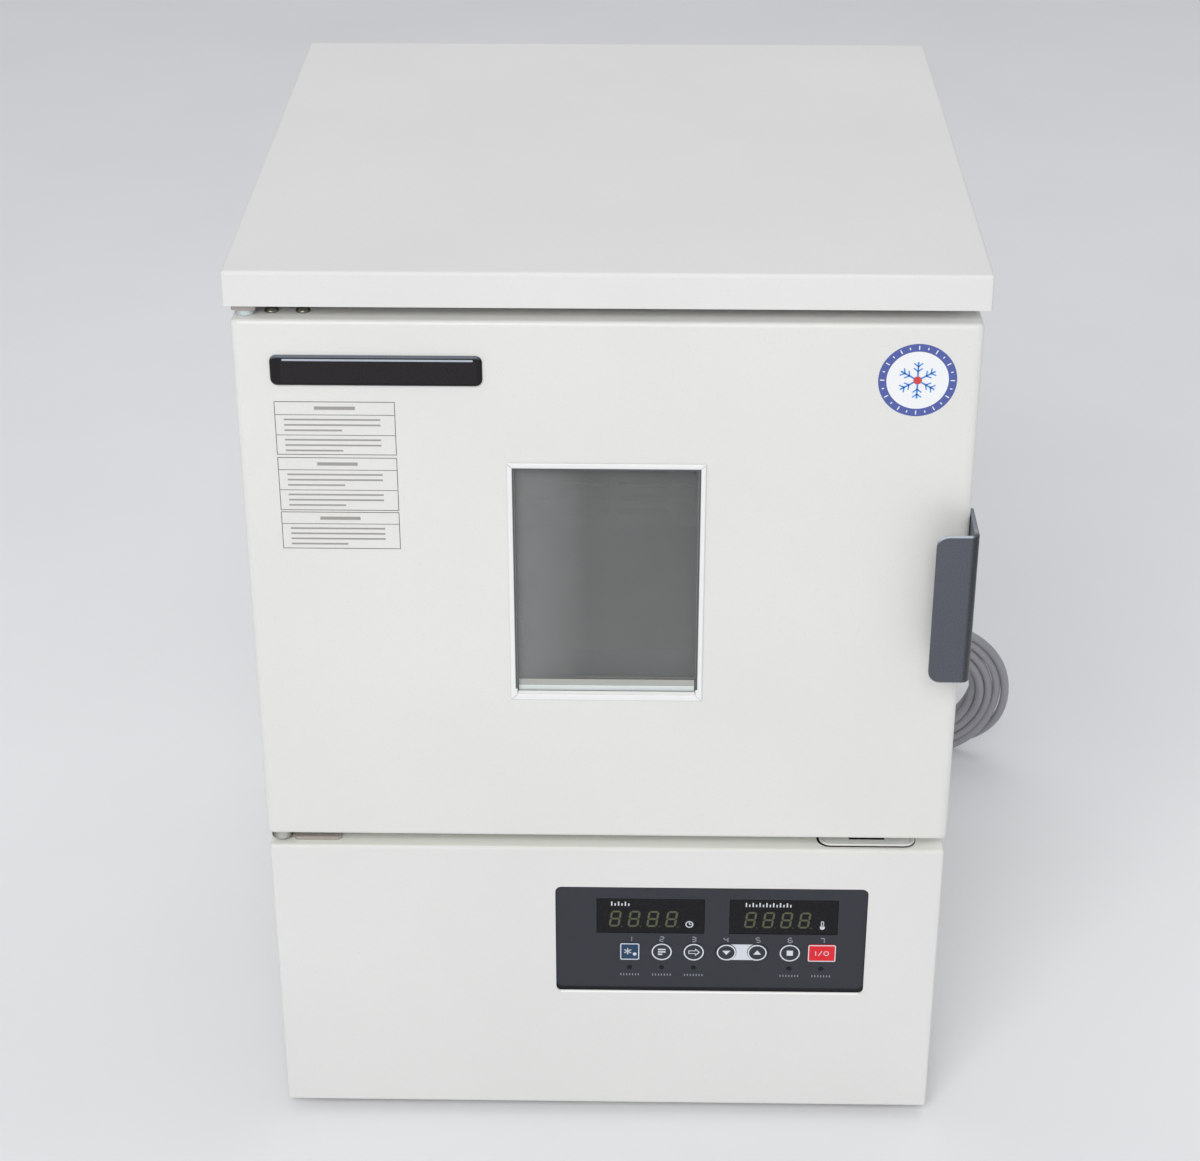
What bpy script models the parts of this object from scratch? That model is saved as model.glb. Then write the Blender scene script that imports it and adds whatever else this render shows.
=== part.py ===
"""Refrigerated incubator: a bench cabinet with a glazed front door over a cooling compartment.

Metres, +Z up. The door faces -Y, and the origin is on the floor under the middle of the cabinet.
"""
import math

import bmesh
import bpy
from mathutils import Matrix, Vector

for item in list(bpy.data.objects):
    bpy.data.objects.remove(item)

# Fits
fit = 0.0003
play = 0.003

# Cabinet
case_width = 0.450
case_depth = 0.4043
sheet = 0.0012
bend_radius = 0.002
foot_height = 0.008
panel_height = 0.2164
panel_side_play = 0.0003
panel_setback = 0.001
gap_below_door = 0.0099
gap_above_door = 0.0084
top_height = 0.0221
top_overhang = 0.0041
top_setback = 0.0016
top_rear_play = 0.0007

# Door
door_height = 0.3683
door_thickness = 0.043
door_edge_radius = 0.003
door_side_round = 0.0055
door_lip = 0.010
liner_sheet = 0.0015
liner_margin = 0.002
plateau_inset = 0.045
plateau_rise = 0.0125
plateau_taper = 0.004
gasket_height = 0.0096
gasket_width = 0.010
gasket_inset = 0.012
gasket_corner = 0.006

# Window
window_width = 0.1142
window_height = 0.1604
window_rise = 0.1908
trim_width = 0.0042
trim_lip = 0.0009
trim_wall = 0.0015
glass_recess = 0.005
glass_thickness = 0.004
glass_overlap = 0.005
spacer_depth = 0.0084
spacer_width = 0.004

# Handle
handle_height = 0.1030
handle_rise = 0.1883
handle_reach = 0.0265
handle_width = 0.0262
handle_thickness = 0.003
handle_side_gap = 0.0003
handle_grip_depth = 0.014
handle_corner = 0.0075
handle_bend = 0.005

# Hinges
hinge_side_inset = 0.008
hinge_setback = 0.012
pin_radius = 0.003
pin_clearance = 0.0002
pin_depth = 0.016
bush_radius = 0.0044
upper_flange_radius = 0.0053
lower_flange_radius = 0.0073
bush_depth = 0.014
lower_bracket_thickness = 0.0022
upper_bracket_thickness = 0.0042
lower_bracket_reach = 0.0042
upper_bracket_reach = 0.0062
upper_bracket_length = 0.015
bracket_eye_radius = 0.0045
bracket_neck_setback = 0.001
bracket_plate_start = 0.0078
bracket_plate_end = 0.0395

# Chamber
side_insulation = 0.043
floor_insulation = 0.0393
roof_insulation = 0.0578
rear_insulation = 0.0413
chamber_setback = 0.003
chamber_corner = 0.008
mouth_side = 0.024
mouth_low = 0.0256
mouth_high = 0.0258

# Control panel
control_width = 0.2104
control_height = 0.0870
control_corner = 0.004
control_inset = 0.1542
control_drop = 0.0748
bezel_margin = 0.006
bezel_thickness = 0.003
display_height = 0.0279
display_rise = 0.0190
timer_display_width = 0.0725
timer_display_shift = -0.0409
temperature_display_width = 0.0728
temperature_display_shift = 0.0491
display_flange = 0.003
display_depth = 0.009
key_row_drop = 0.0104
key_pitch = 0.0218
key_first_shift = -0.0549
round_key_radius = 0.0070
square_key_width = 0.0132
square_key_height = 0.0138
power_key_width = 0.0190
power_key_height = 0.0140
key_corner = 0.0012
key_proud = 0.0005
key_travel = 0.0005
key_flange = 0.0012
key_stem_radius = 0.0025
board_thickness = 0.0016

# Ledge cap
cap_width = 0.064
cap_depth = 0.026
cap_inset = 0.051
cap_setback = 0.003
cap_corner = 0.008
cap_recess = 0.0008
cap_flange = 0.0012
cap_slot_width = 0.024
cap_slot_depth = 0.003

# Cooling unit and chamber fittings
duct_side_margin = 0.017
duct_end_margin = 0.0115
duct_depth = 0.052
duct_slot_width = 0.040
duct_slot_height = 0.006
duct_slot_rows = 3
fan_drop = 0.0555
fan_tip_radius = 0.046
fan_hub_radius = 0.014
fan_hub_length = 0.014
fan_blades = 5
grille_slots = 12
grille_rings = 2
motor_radius = 0.024
shaft_radius = 0.003
shaft_clearance = 0.0003
evaporator_side_margin = 0.025
evaporator_pitch = 0.020
evaporator_rise = 0.086
evaporator_tube_radius = 0.004
evaporator_plate_thickness = 0.002
evaporator_margin = 0.014
evaporator_boss_radius = 0.005
heater_side_margin = 0.050
heater_height = 0.024
heater_rise = 0.036
heater_tube_radius = 0.0035
probe_radius = 0.0025
probe_length = 0.036
probe_side_inset = 0.025
probe_drop = 0.0255
rail_rear_gap = 0.020
rail_setback = 0.018
rail_tooth = 0.010
rail_web = 0.002
rail_ledge = 0.003
rail_pitch = 0.040
rail_rise = 0.026
shelf_wire = 0.003
shelf_cell_width = 0.027
shelf_cell_depth = 0.068
compressor_radius = 0.064
compressor_height = 0.150
compressor_side_inset = 0.120
compressor_rear_inset = 0.1593
compressor_foot = 0.160
compressor_foot_thickness = 0.003
condenser_width = 0.150
condenser_rows = 7
condenser_pitch = 0.020
condenser_low = 0.045
condenser_tube_radius = 0.004
condenser_side_inset = 0.125
condenser_frame_depth = 0.034
condenser_frame_height = 0.165
condenser_rear_inset = 0.0743
cooling_fan_radius = 0.055
cooling_fan_height = 0.110
shroud_depth = 0.024

# Rear cover
louvre_width = 0.110
louvre_height = 0.006
louvre_rise = 0.0016
louvre_pitch = 0.013
louvre_count = 10
louvre_low = 0.055
louvre_side_inset = 0.105
intake_slot_length = 0.060
intake_slot_width = 0.005
intake_slot_pitch = 0.014
intake_slots = 8

# Feet
foot_radius = 0.014
foot_taper = 0.002
foot_inset = 0.030

# Power cord
cord_radius = 0.0035
gland_height = 0.090
gland_x = 0.020
gland_radius = 0.009
gland_length = 0.026
coil_outer_radius = 0.068
coil_inner_radius = 0.031
coil_thickness = 0.026
coil_side_gap = 0.042
coil_rear_gap = 0.002
plug_length = 0.040
plug_width = 0.028
plug_height = 0.020
plug_blade_spacing = 0.0127
plug_blade_width = 0.0064
plug_blade_thickness = 0.0015
plug_blade_length = 0.017
plug_setback = 0.078
plug_offset = 0.130

# Places worked out from the sizes
rear_reach = (door_thickness + fit + liner_sheet + fit + gasket_height + fit
              + case_depth + fit + sheet + top_rear_play + sheet)
door_front = (handle_reach - rear_reach) / 2
door_rear = door_front + door_thickness
liner_front = door_rear + fit
gasket_front = liner_front + liner_sheet + fit
case_front = gasket_front + gasket_height + fit
case_rear = case_front + case_depth
cover_front = case_rear + fit
cover_rear = cover_front + sheet
top_rear = cover_rear + top_rear_play + sheet
top_front = door_front + top_setback
panel_front = door_front + panel_setback
panel_top = foot_height + panel_height
door_low = panel_top + gap_below_door
door_high = door_low + door_height
top_low = door_high + gap_above_door
top_high = top_low + top_height
case_high = top_high - sheet - fit
case_half = case_width / 2
inner_half = case_half - sheet - fit
door_half = case_half
door_centre_height = (door_low + door_high) / 2
window_centre_height = door_low + window_rise
handle_centre_height = door_low + handle_rise
hinge_x = -door_half + hinge_side_inset
hinge_y = door_front + hinge_setback
deck_height = panel_top + fit
mouth_half = case_half - mouth_side
chamber_front = case_front + chamber_setback
chamber_rear = case_rear - rear_insulation
chamber_half = case_half - side_insulation
chamber_floor_height = deck_height + floor_insulation
chamber_high = case_high - roof_insulation
chamber_height = chamber_high - chamber_floor_height
control_centre_x = case_half - control_inset
control_centre_height = panel_top - control_drop
display_centre_height = control_centre_height + display_rise
key_row_height = control_centre_height - key_row_drop
cap_centre_x = case_half - cap_inset
duct_half = chamber_half - duct_side_margin
duct_low = chamber_floor_height + duct_end_margin
duct_high = chamber_high - duct_end_margin
fan_centre_height = duct_high - fan_drop
evaporator_low = chamber_floor_height + evaporator_rise
evaporator_high = fan_centre_height - fan_tip_radius - evaporator_margin
evaporator_passes = int((evaporator_high - evaporator_low) / evaporator_pitch) + 1
evaporator_width = 2 * (duct_half - evaporator_side_margin)
heater_low = chamber_floor_height + heater_rise
heater_half = duct_half - heater_side_margin
probe_x = duct_half - probe_side_inset
probe_height = duct_high - probe_drop
rail_low = chamber_floor_height + rail_rise
rail_front = chamber_front + rail_setback
rail_rear = chamber_rear - duct_depth - rail_rear_gap
rail_teeth = int((chamber_height - 2 * rail_rise) / rail_pitch)
shelf_height = rail_low + (rail_teeth - 1) * rail_pitch + fit + shelf_wire / 2
compressor_x = compressor_side_inset - case_half
compressor_y = case_rear - compressor_rear_inset
condenser_centre_x = case_half - condenser_side_inset
condenser_centre_y = case_rear - condenser_rear_inset
louvre_x = case_half - louvre_side_inset
coil_centre_x = case_half + coil_side_gap

round_steps = 20
corner_steps = 3

# Finishes: colour, roughness and how metallic
warm_white_paint = ((0.76, 0.76, 0.74), 0.42, 0.0)
white_plastic = ((0.80, 0.81, 0.80), 0.45, 0.0)
dark_blue_grey = ((0.075, 0.085, 0.105), 0.40, 0.1)
smoked_lens = ((0.022, 0.023, 0.028), 0.15, 0.0)
stainless = ((0.42, 0.43, 0.43), 0.32, 1.0)
galvanised = ((0.50, 0.51, 0.52), 0.45, 1.0)
light_aluminium = ((0.85, 0.86, 0.85), 0.35, 0.6)
clear_glass = ((0.60, 0.65, 0.64), 0.05, 0.0)
copper = ((0.62, 0.29, 0.18), 0.35, 1.0)
black_plastic = ((0.02, 0.02, 0.022), 0.5, 0.0)
black_rubber = ((0.018, 0.018, 0.018), 0.8, 0.0)
grey_rubber = ((0.30, 0.31, 0.32), 0.7, 0.0)
grey_cord = ((0.20, 0.20, 0.22), 0.55, 0.0)
foam = ((0.83, 0.78, 0.62), 0.9, 0.0)
circuit_green = ((0.03, 0.16, 0.07), 0.5, 0.0)
key_blue = ((0.028, 0.10, 0.26), 0.4, 0.0)
key_red = ((0.62, 0.02, 0.04), 0.4, 0.0)
key_dark = ((0.065, 0.075, 0.095), 0.4, 0.0)


# Helpers

def finish_node(node, finish, parent):
    """Gives a node its own material and its parent."""
    colour, roughness, metallic = finish
    made = bpy.data.materials.new(node.name)
    made.use_nodes = True
    shader = made.node_tree.nodes["Principled BSDF"]
    shader.inputs["Base Color"].default_value = (*colour, 1.0)
    shader.inputs["Roughness"].default_value = roughness
    shader.inputs["Metallic"].default_value = metallic
    made.diffuse_color = (*colour, 1.0)
    node.data.materials.append(made)
    if parent is not None:
        node.parent = parent
        node.location = node.location - parent.location


def add_node(name, bm, place, finish, parent=None, closed=True):
    """Makes an object from a bmesh, at a place in the world; an open sheet keeps its own facing."""
    if closed:
        bmesh.ops.recalc_face_normals(bm, faces=bm.faces)
    mesh = bpy.data.meshes.new(name)
    bm.to_mesh(mesh)
    bm.free()
    mesh.shade_smooth()
    mesh.set_sharp_from_angle(angle=math.radians(30))
    node = bpy.data.objects.new(name, mesh)
    node.location = place
    bpy.context.scene.collection.objects.link(node)
    finish_node(node, finish, parent)
    return node


def add_axis(name, place):
    """An empty on a joint's axis, which carries the moving pieces."""
    axis = bpy.data.objects.new(name, None)
    axis.location = place
    bpy.context.scene.collection.objects.link(axis)
    return axis


def along(axis, u, v, w):
    """A point from two coordinates in a plane and one along the axis."""
    return {"X": (w, u, v), "Y": (u, w, v), "Z": (u, v, w)}[axis]


def face_towards(bm, direction):
    """The flat face that looks in a direction."""
    return max(bm.faces, key=lambda face: (face.normal.dot(Vector(direction)), face.calc_area()))


def box_mesh(low, high):
    """A box mesh round the middle of its own corners, and that middle."""
    size = Vector(high) - Vector(low)
    middle = (Vector(high) + Vector(low)) / 2
    bm = bmesh.new()
    bmesh.ops.create_cube(bm, size=1.0, matrix=Matrix.Diagonal((*size, 1.0)))
    return bm, middle


def add_box(name, low, high, finish, parent=None):
    """A sharp-edged box between two corners."""
    bm, middle = box_mesh(low, high)
    return add_node(name, bm, middle, finish, parent)


def add_pan(name, low, high, towards, finish):
    """A folded sheet box, open on one side."""
    bm, middle = box_mesh(low, high)
    mouth = face_towards(bm, towards)
    rim = set(mouth.edges)
    bends = [edge for edge in bm.edges if edge not in rim]
    bmesh.ops.bevel(bm, geom=bends, offset=bend_radius, segments=3, profile=0.5, affect="EDGES")
    bmesh.ops.delete(bm, geom=[face_towards(bm, towards)], context="FACES_ONLY")
    node = add_node(name, bm, middle, finish, closed=False)
    add_wall(node, sheet)
    return node


def add_wall(node, wall, side=-1.0):
    """Gives an open surface its sheet thickness."""
    tool = node.modifiers.new("wall", "SOLIDIFY")
    tool.thickness = wall
    tool.offset = side
    tool.use_even_offset = True


def combine(node, other, operation="DIFFERENCE"):
    """Cuts another object from a node, or joins it on, and keeps the other as a guide."""
    other.hide_render = True
    other.display_type = "WIRE"
    tool = node.modifiers.new(other.name, "BOOLEAN")
    tool.operation = operation
    tool.solver = "EXACT"
    tool.object = other


def faces_out(node, outward):
    """Whether the largest face that lies across a direction looks along it."""
    across = [face for face in node.data.polygons if abs(face.normal.dot(Vector(outward))) > 0.9]
    return max(across, key=lambda face: face.area).normal.dot(Vector(outward)) > 0


def add_guide(name, bm, place=(0, 0, 0)):
    """A shape that only cuts or joins."""
    bmesh.ops.recalc_face_normals(bm, faces=bm.faces)
    mesh = bpy.data.meshes.new(name)
    bm.to_mesh(mesh)
    bm.free()
    guide = bpy.data.objects.new(name, mesh)
    guide.location = place
    bpy.context.scene.collection.objects.link(guide)
    return guide


def rounded_ring(half_u, half_v, radius, centre=(0.0, 0.0), steps=corner_steps):
    """The points of a rectangle with round or sharp corners, counter-clockwise."""
    points = []
    corners = ((1, 1, 0), (-1, 1, 90), (-1, -1, 180), (1, -1, 270))
    for side_u, side_v, start in corners:
        corner_u = centre[0] + side_u * (half_u - radius)
        corner_v = centre[1] + side_v * (half_v - radius)
        count = steps if radius > 0 else 0
        for step in range(count + 1):
            angle = math.radians(start + 90 * step / max(count, 1))
            points.append((corner_u + radius * math.cos(angle) * (radius > 0),
                           corner_v + radius * math.sin(angle) * (radius > 0)))
    return points


def circle_ring(radius, centre=(0.0, 0.0), steps=round_steps):
    """The points of a circle."""
    return [(centre[0] + radius * math.cos(math.tau * step / steps),
             centre[1] + radius * math.sin(math.tau * step / steps)) for step in range(steps)]


def extrude_ring(bm, ring, axis, low, high):
    """Adds a prism over a flat outline to a bmesh."""
    base = bm.faces.new([bm.verts.new(along(axis, u, v, low)) for u, v in ring])
    grown = bmesh.ops.extrude_face_region(bm, geom=[base])["geom"]
    moved = [vert for vert in grown if isinstance(vert, bmesh.types.BMVert)]
    bmesh.ops.translate(bm, verts=moved, vec=Vector(along(axis, 0, 0, high - low)))
    return bm


def prism_mesh(ring, axis, low, high):
    """A prism over one outline."""
    return extrude_ring(bmesh.new(), ring, axis, low, high)


def pattern_mesh(rings, axis, low, high):
    """Many separate prisms in one mesh."""
    bm = bmesh.new()
    for ring in rings:
        extrude_ring(bm, ring, axis, low, high)
    return bm


def loft_mesh(rings, front_cap=True, back_cap=True, looped=False):
    """Skins rings that have the same number of points, in order."""
    bm = bmesh.new()
    loops = [[bm.verts.new(point) for point in ring] for ring in rings]
    pairs = list(zip(loops, loops[1:]))
    if looped:
        pairs.append((loops[-1], loops[0]))
    for first, second in pairs:
        for index in range(len(first)):
            after = (index + 1) % len(first)
            bm.faces.new((first[index], first[after], second[after], second[index]))
    if front_cap and not looped:
        bm.faces.new(loops[0])
    if back_cap and not looped:
        bm.faces.new(loops[-1])
    return bm


def stack_mesh(half_u, half_v, radius, axis, levels, steps=corner_steps):
    """A stepped rounded block: each level is an outward offset and a height along the axis."""
    rings = []
    for offset, height in levels:
        corner = max(radius + offset, fit) if radius > 0 else 0.0
        ring = rounded_ring(half_u + offset, half_v + offset, corner, steps=steps)
        rings.append([along(axis, u, v, height) for u, v in ring])
    return loft_mesh(rings)


def frame_mesh(half_u, half_v, radius, profile, axis="Y"):
    """A closed frame: a profile of outward offsets and heights, carried round a rectangle."""
    rings = []
    for offset, height in profile:
        corner = radius + offset if radius > 0 else 0.0
        ring = rounded_ring(half_u + offset, half_v + offset, corner)
        rings.append([along(axis, u, v, height) for u, v in ring])
    return loft_mesh(rings, looped=True)


def turned_mesh(profile, steps=round_steps):
    """A solid turned about Z from (radius, height) points; the ends close on the axis."""
    bm = bmesh.new()
    loops = []
    for radius, height in profile:
        ring = circle_ring(radius, steps=steps)
        loops.append([bm.verts.new((u, v, height)) for u, v in ring])
    for first, second in zip(loops, loops[1:]):
        for index in range(steps):
            after = (index + 1) % steps
            bm.faces.new((first[index], first[after], second[after], second[index]))
    bm.faces.new(loops[0])
    bm.faces.new(loops[-1])
    return bm


def turned_ring_mesh(profile, steps):
    """A ring turned about Z from a closed (radius, height) section."""
    rings = []
    for radius, height in profile:
        rings.append([(u, v, height) for u, v in circle_ring(radius, steps=steps)])
    return loft_mesh(rings, looped=True)


def turn_to(bm, axis):
    """Turns a mesh made along +Z so that it points along an axis."""
    angles = {"+Y": -math.pi / 2, "-Y": math.pi / 2}
    if axis in angles:
        bmesh.ops.rotate(bm, verts=bm.verts, matrix=Matrix.Rotation(angles[axis], 3, "X"))
    return bm


def smooth_route(points, spacing):
    """Points read at even spacing from a smooth curve through the route's own points."""
    path = [Vector(point) for point in points]
    padded = [2 * path[0] - path[1], *path, 2 * path[-1] - path[-2]]
    fine = []
    for before, start, end, after in zip(padded, padded[1:], padded[2:], padded[3:]):
        for step in range(20):
            t = step / 20
            fine.append(0.5 * (2 * start + (end - before) * t
                               + (2 * before - 5 * start + 4 * end - after) * t ** 2
                               + (3 * start - before - 3 * end + after) * t ** 3))
    fine.append(path[-1])
    route = [fine[0]]
    travelled = 0.0
    for first, second in zip(fine, fine[1:]):
        travelled += (second - first).length
        if travelled >= spacing:
            route.append(second)
            travelled = 0.0
    if travelled > spacing / 2:
        route.append(fine[-1])
    else:
        route[-1] = fine[-1]
    return route


def add_tube(name, points, radius, finish, sides=2):
    """A round bar along points, as a bevelled curve with filled ends."""
    origin = Vector(points[0])
    curve = bpy.data.curves.new(name, "CURVE")
    curve.dimensions = "3D"
    curve.bevel_depth = radius
    curve.bevel_resolution = sides
    curve.use_fill_caps = True
    line = curve.splines.new("POLY")
    line.points.add(len(points) - 1)
    for target, point in zip(line.points, points):
        target.co = (*(Vector(point) - origin), 1.0)
    node = bpy.data.objects.new(name, curve)
    node.location = origin
    bpy.context.scene.collection.objects.link(node)
    finish_node(node, finish, None)
    return node


def serpentine(width, passes, pitch, low, depth, steps=5):
    """A tube's route to and fro in an upright plane, with half-round bends."""
    half = width / 2 - pitch / 2
    points = []
    for row in range(passes):
        side = 1 if row % 2 == 0 else -1
        height = low + row * pitch
        points.append((-side * half, depth, height))
        points.append((side * half, depth, height))
        if row < passes - 1:
            for step in range(1, steps):
                angle = math.pi * step / steps - math.pi / 2
                points.append((side * (half + pitch / 2 * math.cos(angle)), depth,
                               height + pitch / 2 + pitch / 2 * math.sin(angle)))
    return points


def add_fan(name, place, hub_radius, hub_length, tip_radius, blades, finish, parent):
    """A fan on an axis along Y: a hub with a blind shaft hole and twisted blades."""
    hub = turn_to(turned_mesh([(hub_radius * 0.8, 0), (hub_radius, hub_length * 0.2),
                               (hub_radius, hub_length)]), "+Y")
    node = add_node(name, hub, place, finish, parent)
    root = hub_radius * 0.75
    thickness = 0.0014
    bm = bmesh.new()
    for blade in range(blades):
        rings = []
        for share in (0.0, 0.35, 0.7, 1.0):
            radius = root + (tip_radius - root) * share
            chord = 0.30 * tip_radius + 0.34 * tip_radius * share
            pitch = math.radians(52 - 26 * share)
            lean = math.radians(10 * share)
            along_chord = Vector((math.cos(pitch), math.sin(pitch), 0))
            across = Vector((-math.sin(pitch), math.cos(pitch), 0))
            corners = []
            for u, v in ((-0.5, -0.5), (0.5, -0.5), (0.5, 0.5), (-0.5, 0.5)):
                corner = along_chord * chord * u + across * thickness * v
                corners.append(Vector((corner.x, corner.y + hub_length * 0.45, radius)))
            turn = Matrix.Rotation(math.tau * blade / blades + lean, 3, "Y")
            rings.append([turn @ corner for corner in corners])
        joined = loft_mesh(rings)
        mesh = bpy.data.meshes.new("blade")
        joined.to_mesh(mesh)
        joined.free()
        bm.from_mesh(mesh)
        bpy.data.meshes.remove(mesh)
    guide = add_guide(name + "_blades", bm, place)
    combine(node, guide, "UNION")
    bore = turn_to(turned_mesh([(shaft_radius + shaft_clearance, hub_length * 0.35),
                                (shaft_radius + shaft_clearance, hub_length + play)]), "+Y")
    combine(node, add_guide(name + "_bore", bore, place))
    return node


# Cabinet shell

def outer_case():
    """A wrapped case, open at the back and below, with a chamber mouth and a lower access mouth."""
    bm, middle = box_mesh((-case_half, case_front, foot_height), (case_half, case_rear, case_high))
    open_faces = [face_towards(bm, (0, 1, 0)), face_towards(bm, (0, 0, -1))]
    open_edges = set(open_faces[0].edges) | set(open_faces[1].edges)
    bends = [edge for edge in bm.edges if edge not in open_edges]
    bmesh.ops.bevel(bm, geom=bends, offset=bend_radius, segments=3, profile=0.5, affect="EDGES")
    open_faces = [face_towards(bm, (0, 1, 0)), face_towards(bm, (0, 0, -1))]
    bmesh.ops.delete(bm, geom=open_faces, context="FACES_ONLY")
    node = add_node("outer_case", bm, middle, warm_white_paint, closed=False)
    add_wall(node, sheet)
    mouth_centre = (door_low + mouth_low + door_high - mouth_high) / 2
    mouth_rise = (door_high - mouth_high - door_low - mouth_low) / 2
    mouth = rounded_ring(mouth_half, mouth_rise, chamber_corner, (0, mouth_centre))
    access_half = (panel_height - 2 * door_lip - 2 * play) / 2
    access = rounded_ring(mouth_half, access_half, chamber_corner,
                          (0, foot_height + panel_height / 2))
    cutter = pattern_mesh([mouth, access], "Y", case_front - play, case_front + play)
    combine(node, add_guide("case_mouths", cutter))


def top_panel():
    """A folded tray over the case, whose front part is closed below as a visor over the door."""
    low = (-case_half - top_overhang, top_front, top_low)
    high = (case_half + top_overhang, top_rear, top_high)
    bm, middle = box_mesh(low, high)
    under = face_towards(bm, (0, 0, -1))
    rim = set(under.edges)
    bends = [edge for edge in bm.edges if edge not in rim]
    bmesh.ops.bevel(bm, geom=bends, offset=bend_radius, segments=3, profile=0.5, affect="EDGES")
    edge_of_visor = Vector((0, case_front - play - middle.y, 0))
    bmesh.ops.bisect_plane(bm, geom=bm.verts[:] + bm.edges[:] + [face_towards(bm, (0, 0, -1))],
                           plane_co=edge_of_visor, plane_no=(0, 1, 0))
    behind = [face for face in bm.faces if face.normal.z < -0.99
              and face.calc_center_median().y > edge_of_visor.y]
    bmesh.ops.delete(bm, geom=behind, context="FACES_ONLY")
    node = add_node("top_panel", bm, middle, warm_white_paint, closed=False)
    add_wall(node, sheet)


def lower_front_panel():
    """A deep painted pan with the control cut-out in its face and the cap's cut-out in its ledge."""
    half = case_half - panel_side_play
    low = (-half, panel_front, foot_height)
    high = (half, case_front - fit, panel_top)
    node = add_pan("lower_front_panel", low, high, (0, 1, 0), warm_white_paint)
    control = rounded_ring(control_width / 2, control_height / 2, control_corner,
                           (control_centre_x, control_centre_height))
    window = prism_mesh(control, "Y", panel_front - play, panel_front + play)
    combine(node, add_guide("control_cutout", window))
    ring = rounded_ring(cap_width / 2, cap_depth / 2, cap_corner, cap_centre())
    ledge = prism_mesh(ring, "Z", panel_top - play, panel_top + play)
    combine(node, add_guide("ledge_cutout", ledge))


def cap_centre():
    """Where the ledge cap's middle lies."""
    return (cap_centre_x, panel_front + cap_setback + cap_depth / 2)


def ledge_cap():
    """A plastic cap that fills the ledge's cut-out from below, with a slot through it."""
    under = panel_top - sheet - fit
    levels = ((cap_flange, under - liner_sheet), (cap_flange, under), (-fit, under),
              (-fit, panel_top - cap_recess))
    bm = stack_mesh(cap_width / 2, cap_depth / 2, cap_corner, "Z", levels)
    node = add_node("ledge_cap", bm, (*cap_centre(), 0), white_plastic)
    slot_y = cap_centre()[1] + cap_depth / 4
    ring = rounded_ring(cap_slot_width / 2, cap_slot_depth / 2, 0, (cap_centre_x, slot_y))
    combine(node, add_guide("cap_slot", prism_mesh(ring, "Z", under - 2 * play, panel_top)))


def base_pan():
    """The floor tray of the cooling compartment, with air slots."""
    low = (-inner_half, case_front + sheet + fit, foot_height)
    high = (inner_half, case_rear, foot_height + door_lip)
    node = add_pan("base_pan", low, high, (0, 0, 1), galvanised)
    slots = []
    for index in range(intake_slots):
        x = (index - (intake_slots - 1) / 2) * intake_slot_pitch + condenser_centre_x
        centre = (x, case_front + intake_slot_length)
        slots.append(rounded_ring(intake_slot_width / 2, intake_slot_length / 2, 0, centre))
    cutter = pattern_mesh(slots, "Z", foot_height - play, foot_height + play)
    combine(node, add_guide("intake_slots", cutter))


def rear_cover():
    """The rear sheet with two columns of pressed louvres, open below."""
    low = (-case_half, cover_front, foot_height)
    high = (case_half, cover_rear, case_high)
    bm, middle = box_mesh(low, high)
    node = add_node("rear_cover", bm, middle, warm_white_paint)
    hoods = bmesh.new()
    hollows = bmesh.new()
    for column in (-1, 1):
        for row in range(louvre_count):
            z = louvre_low + row * louvre_pitch
            x = column * louvre_x
            hood = ((cover_rear - sheet / 2, z), (cover_rear + louvre_rise, z),
                    (cover_rear, z + louvre_height), (cover_rear - sheet / 2, z + louvre_height))
            hollow = ((cover_front - play, z - fit), (cover_rear + louvre_rise - sheet / 2, z - fit),
                      (cover_rear - sheet / 2, z + louvre_height - sheet),
                      (cover_front - play, z + louvre_height - sheet))
            extrude_ring(hoods, hood, "X", x - louvre_width / 2, x + louvre_width / 2)
            extrude_ring(hollows, hollow, "X", x - louvre_width / 2 + sheet, x + louvre_width / 2 - sheet)
    combine(node, add_guide("louvre_hoods", hoods), "UNION")
    combine(node, add_guide("louvre_hollows", hollows))
    hole = prism_mesh(circle_ring(gland_radius - fit * 10, (gland_x, gland_height)), "Y",
                      cover_front - play, cover_rear + play)
    combine(node, add_guide("gland_hole", hole))


def machine_deck():
    """The sheet that parts the insulated chamber from the cooling compartment."""
    low = (-inner_half, case_front + sheet + fit, deck_height)
    high = (inner_half, case_rear, deck_height + sheet)
    add_box("machine_deck", low, high, galvanised)


def breaker_frame():
    """The white plastic frame that joins the case's mouth to the chamber's mouth."""
    centre_height = chamber_floor_height + chamber_height / 2
    reach = mouth_half - chamber_half - fit * 2
    profile = ((fit, case_front + sheet + fit), (reach + play, case_front + sheet + fit),
               (reach + play, case_front + chamber_setback - fit),
               (fit, case_front + chamber_setback - fit))
    bm = frame_mesh(chamber_half, chamber_height / 2, chamber_corner, profile)
    add_node("breaker_frame", bm, (0, 0, centre_height), white_plastic)


def inner_chamber():
    """The stainless chamber, open at the front."""
    low = (-chamber_half, chamber_front, chamber_floor_height)
    high = (chamber_half, chamber_rear, chamber_high)
    bm, middle = box_mesh(low, high)
    mouth = face_towards(bm, (0, -1, 0))
    rim = set(mouth.edges)
    bends = [edge for edge in bm.edges if edge not in rim]
    bmesh.ops.bevel(bm, geom=bends, offset=chamber_corner, segments=3, profile=0.5, affect="EDGES")
    bmesh.ops.delete(bm, geom=[face_towards(bm, (0, -1, 0))], context="FACES_ONLY")
    node = add_node("inner_chamber", bm, middle, stainless, closed=False)
    add_wall(node, sheet, 1.0)


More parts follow.
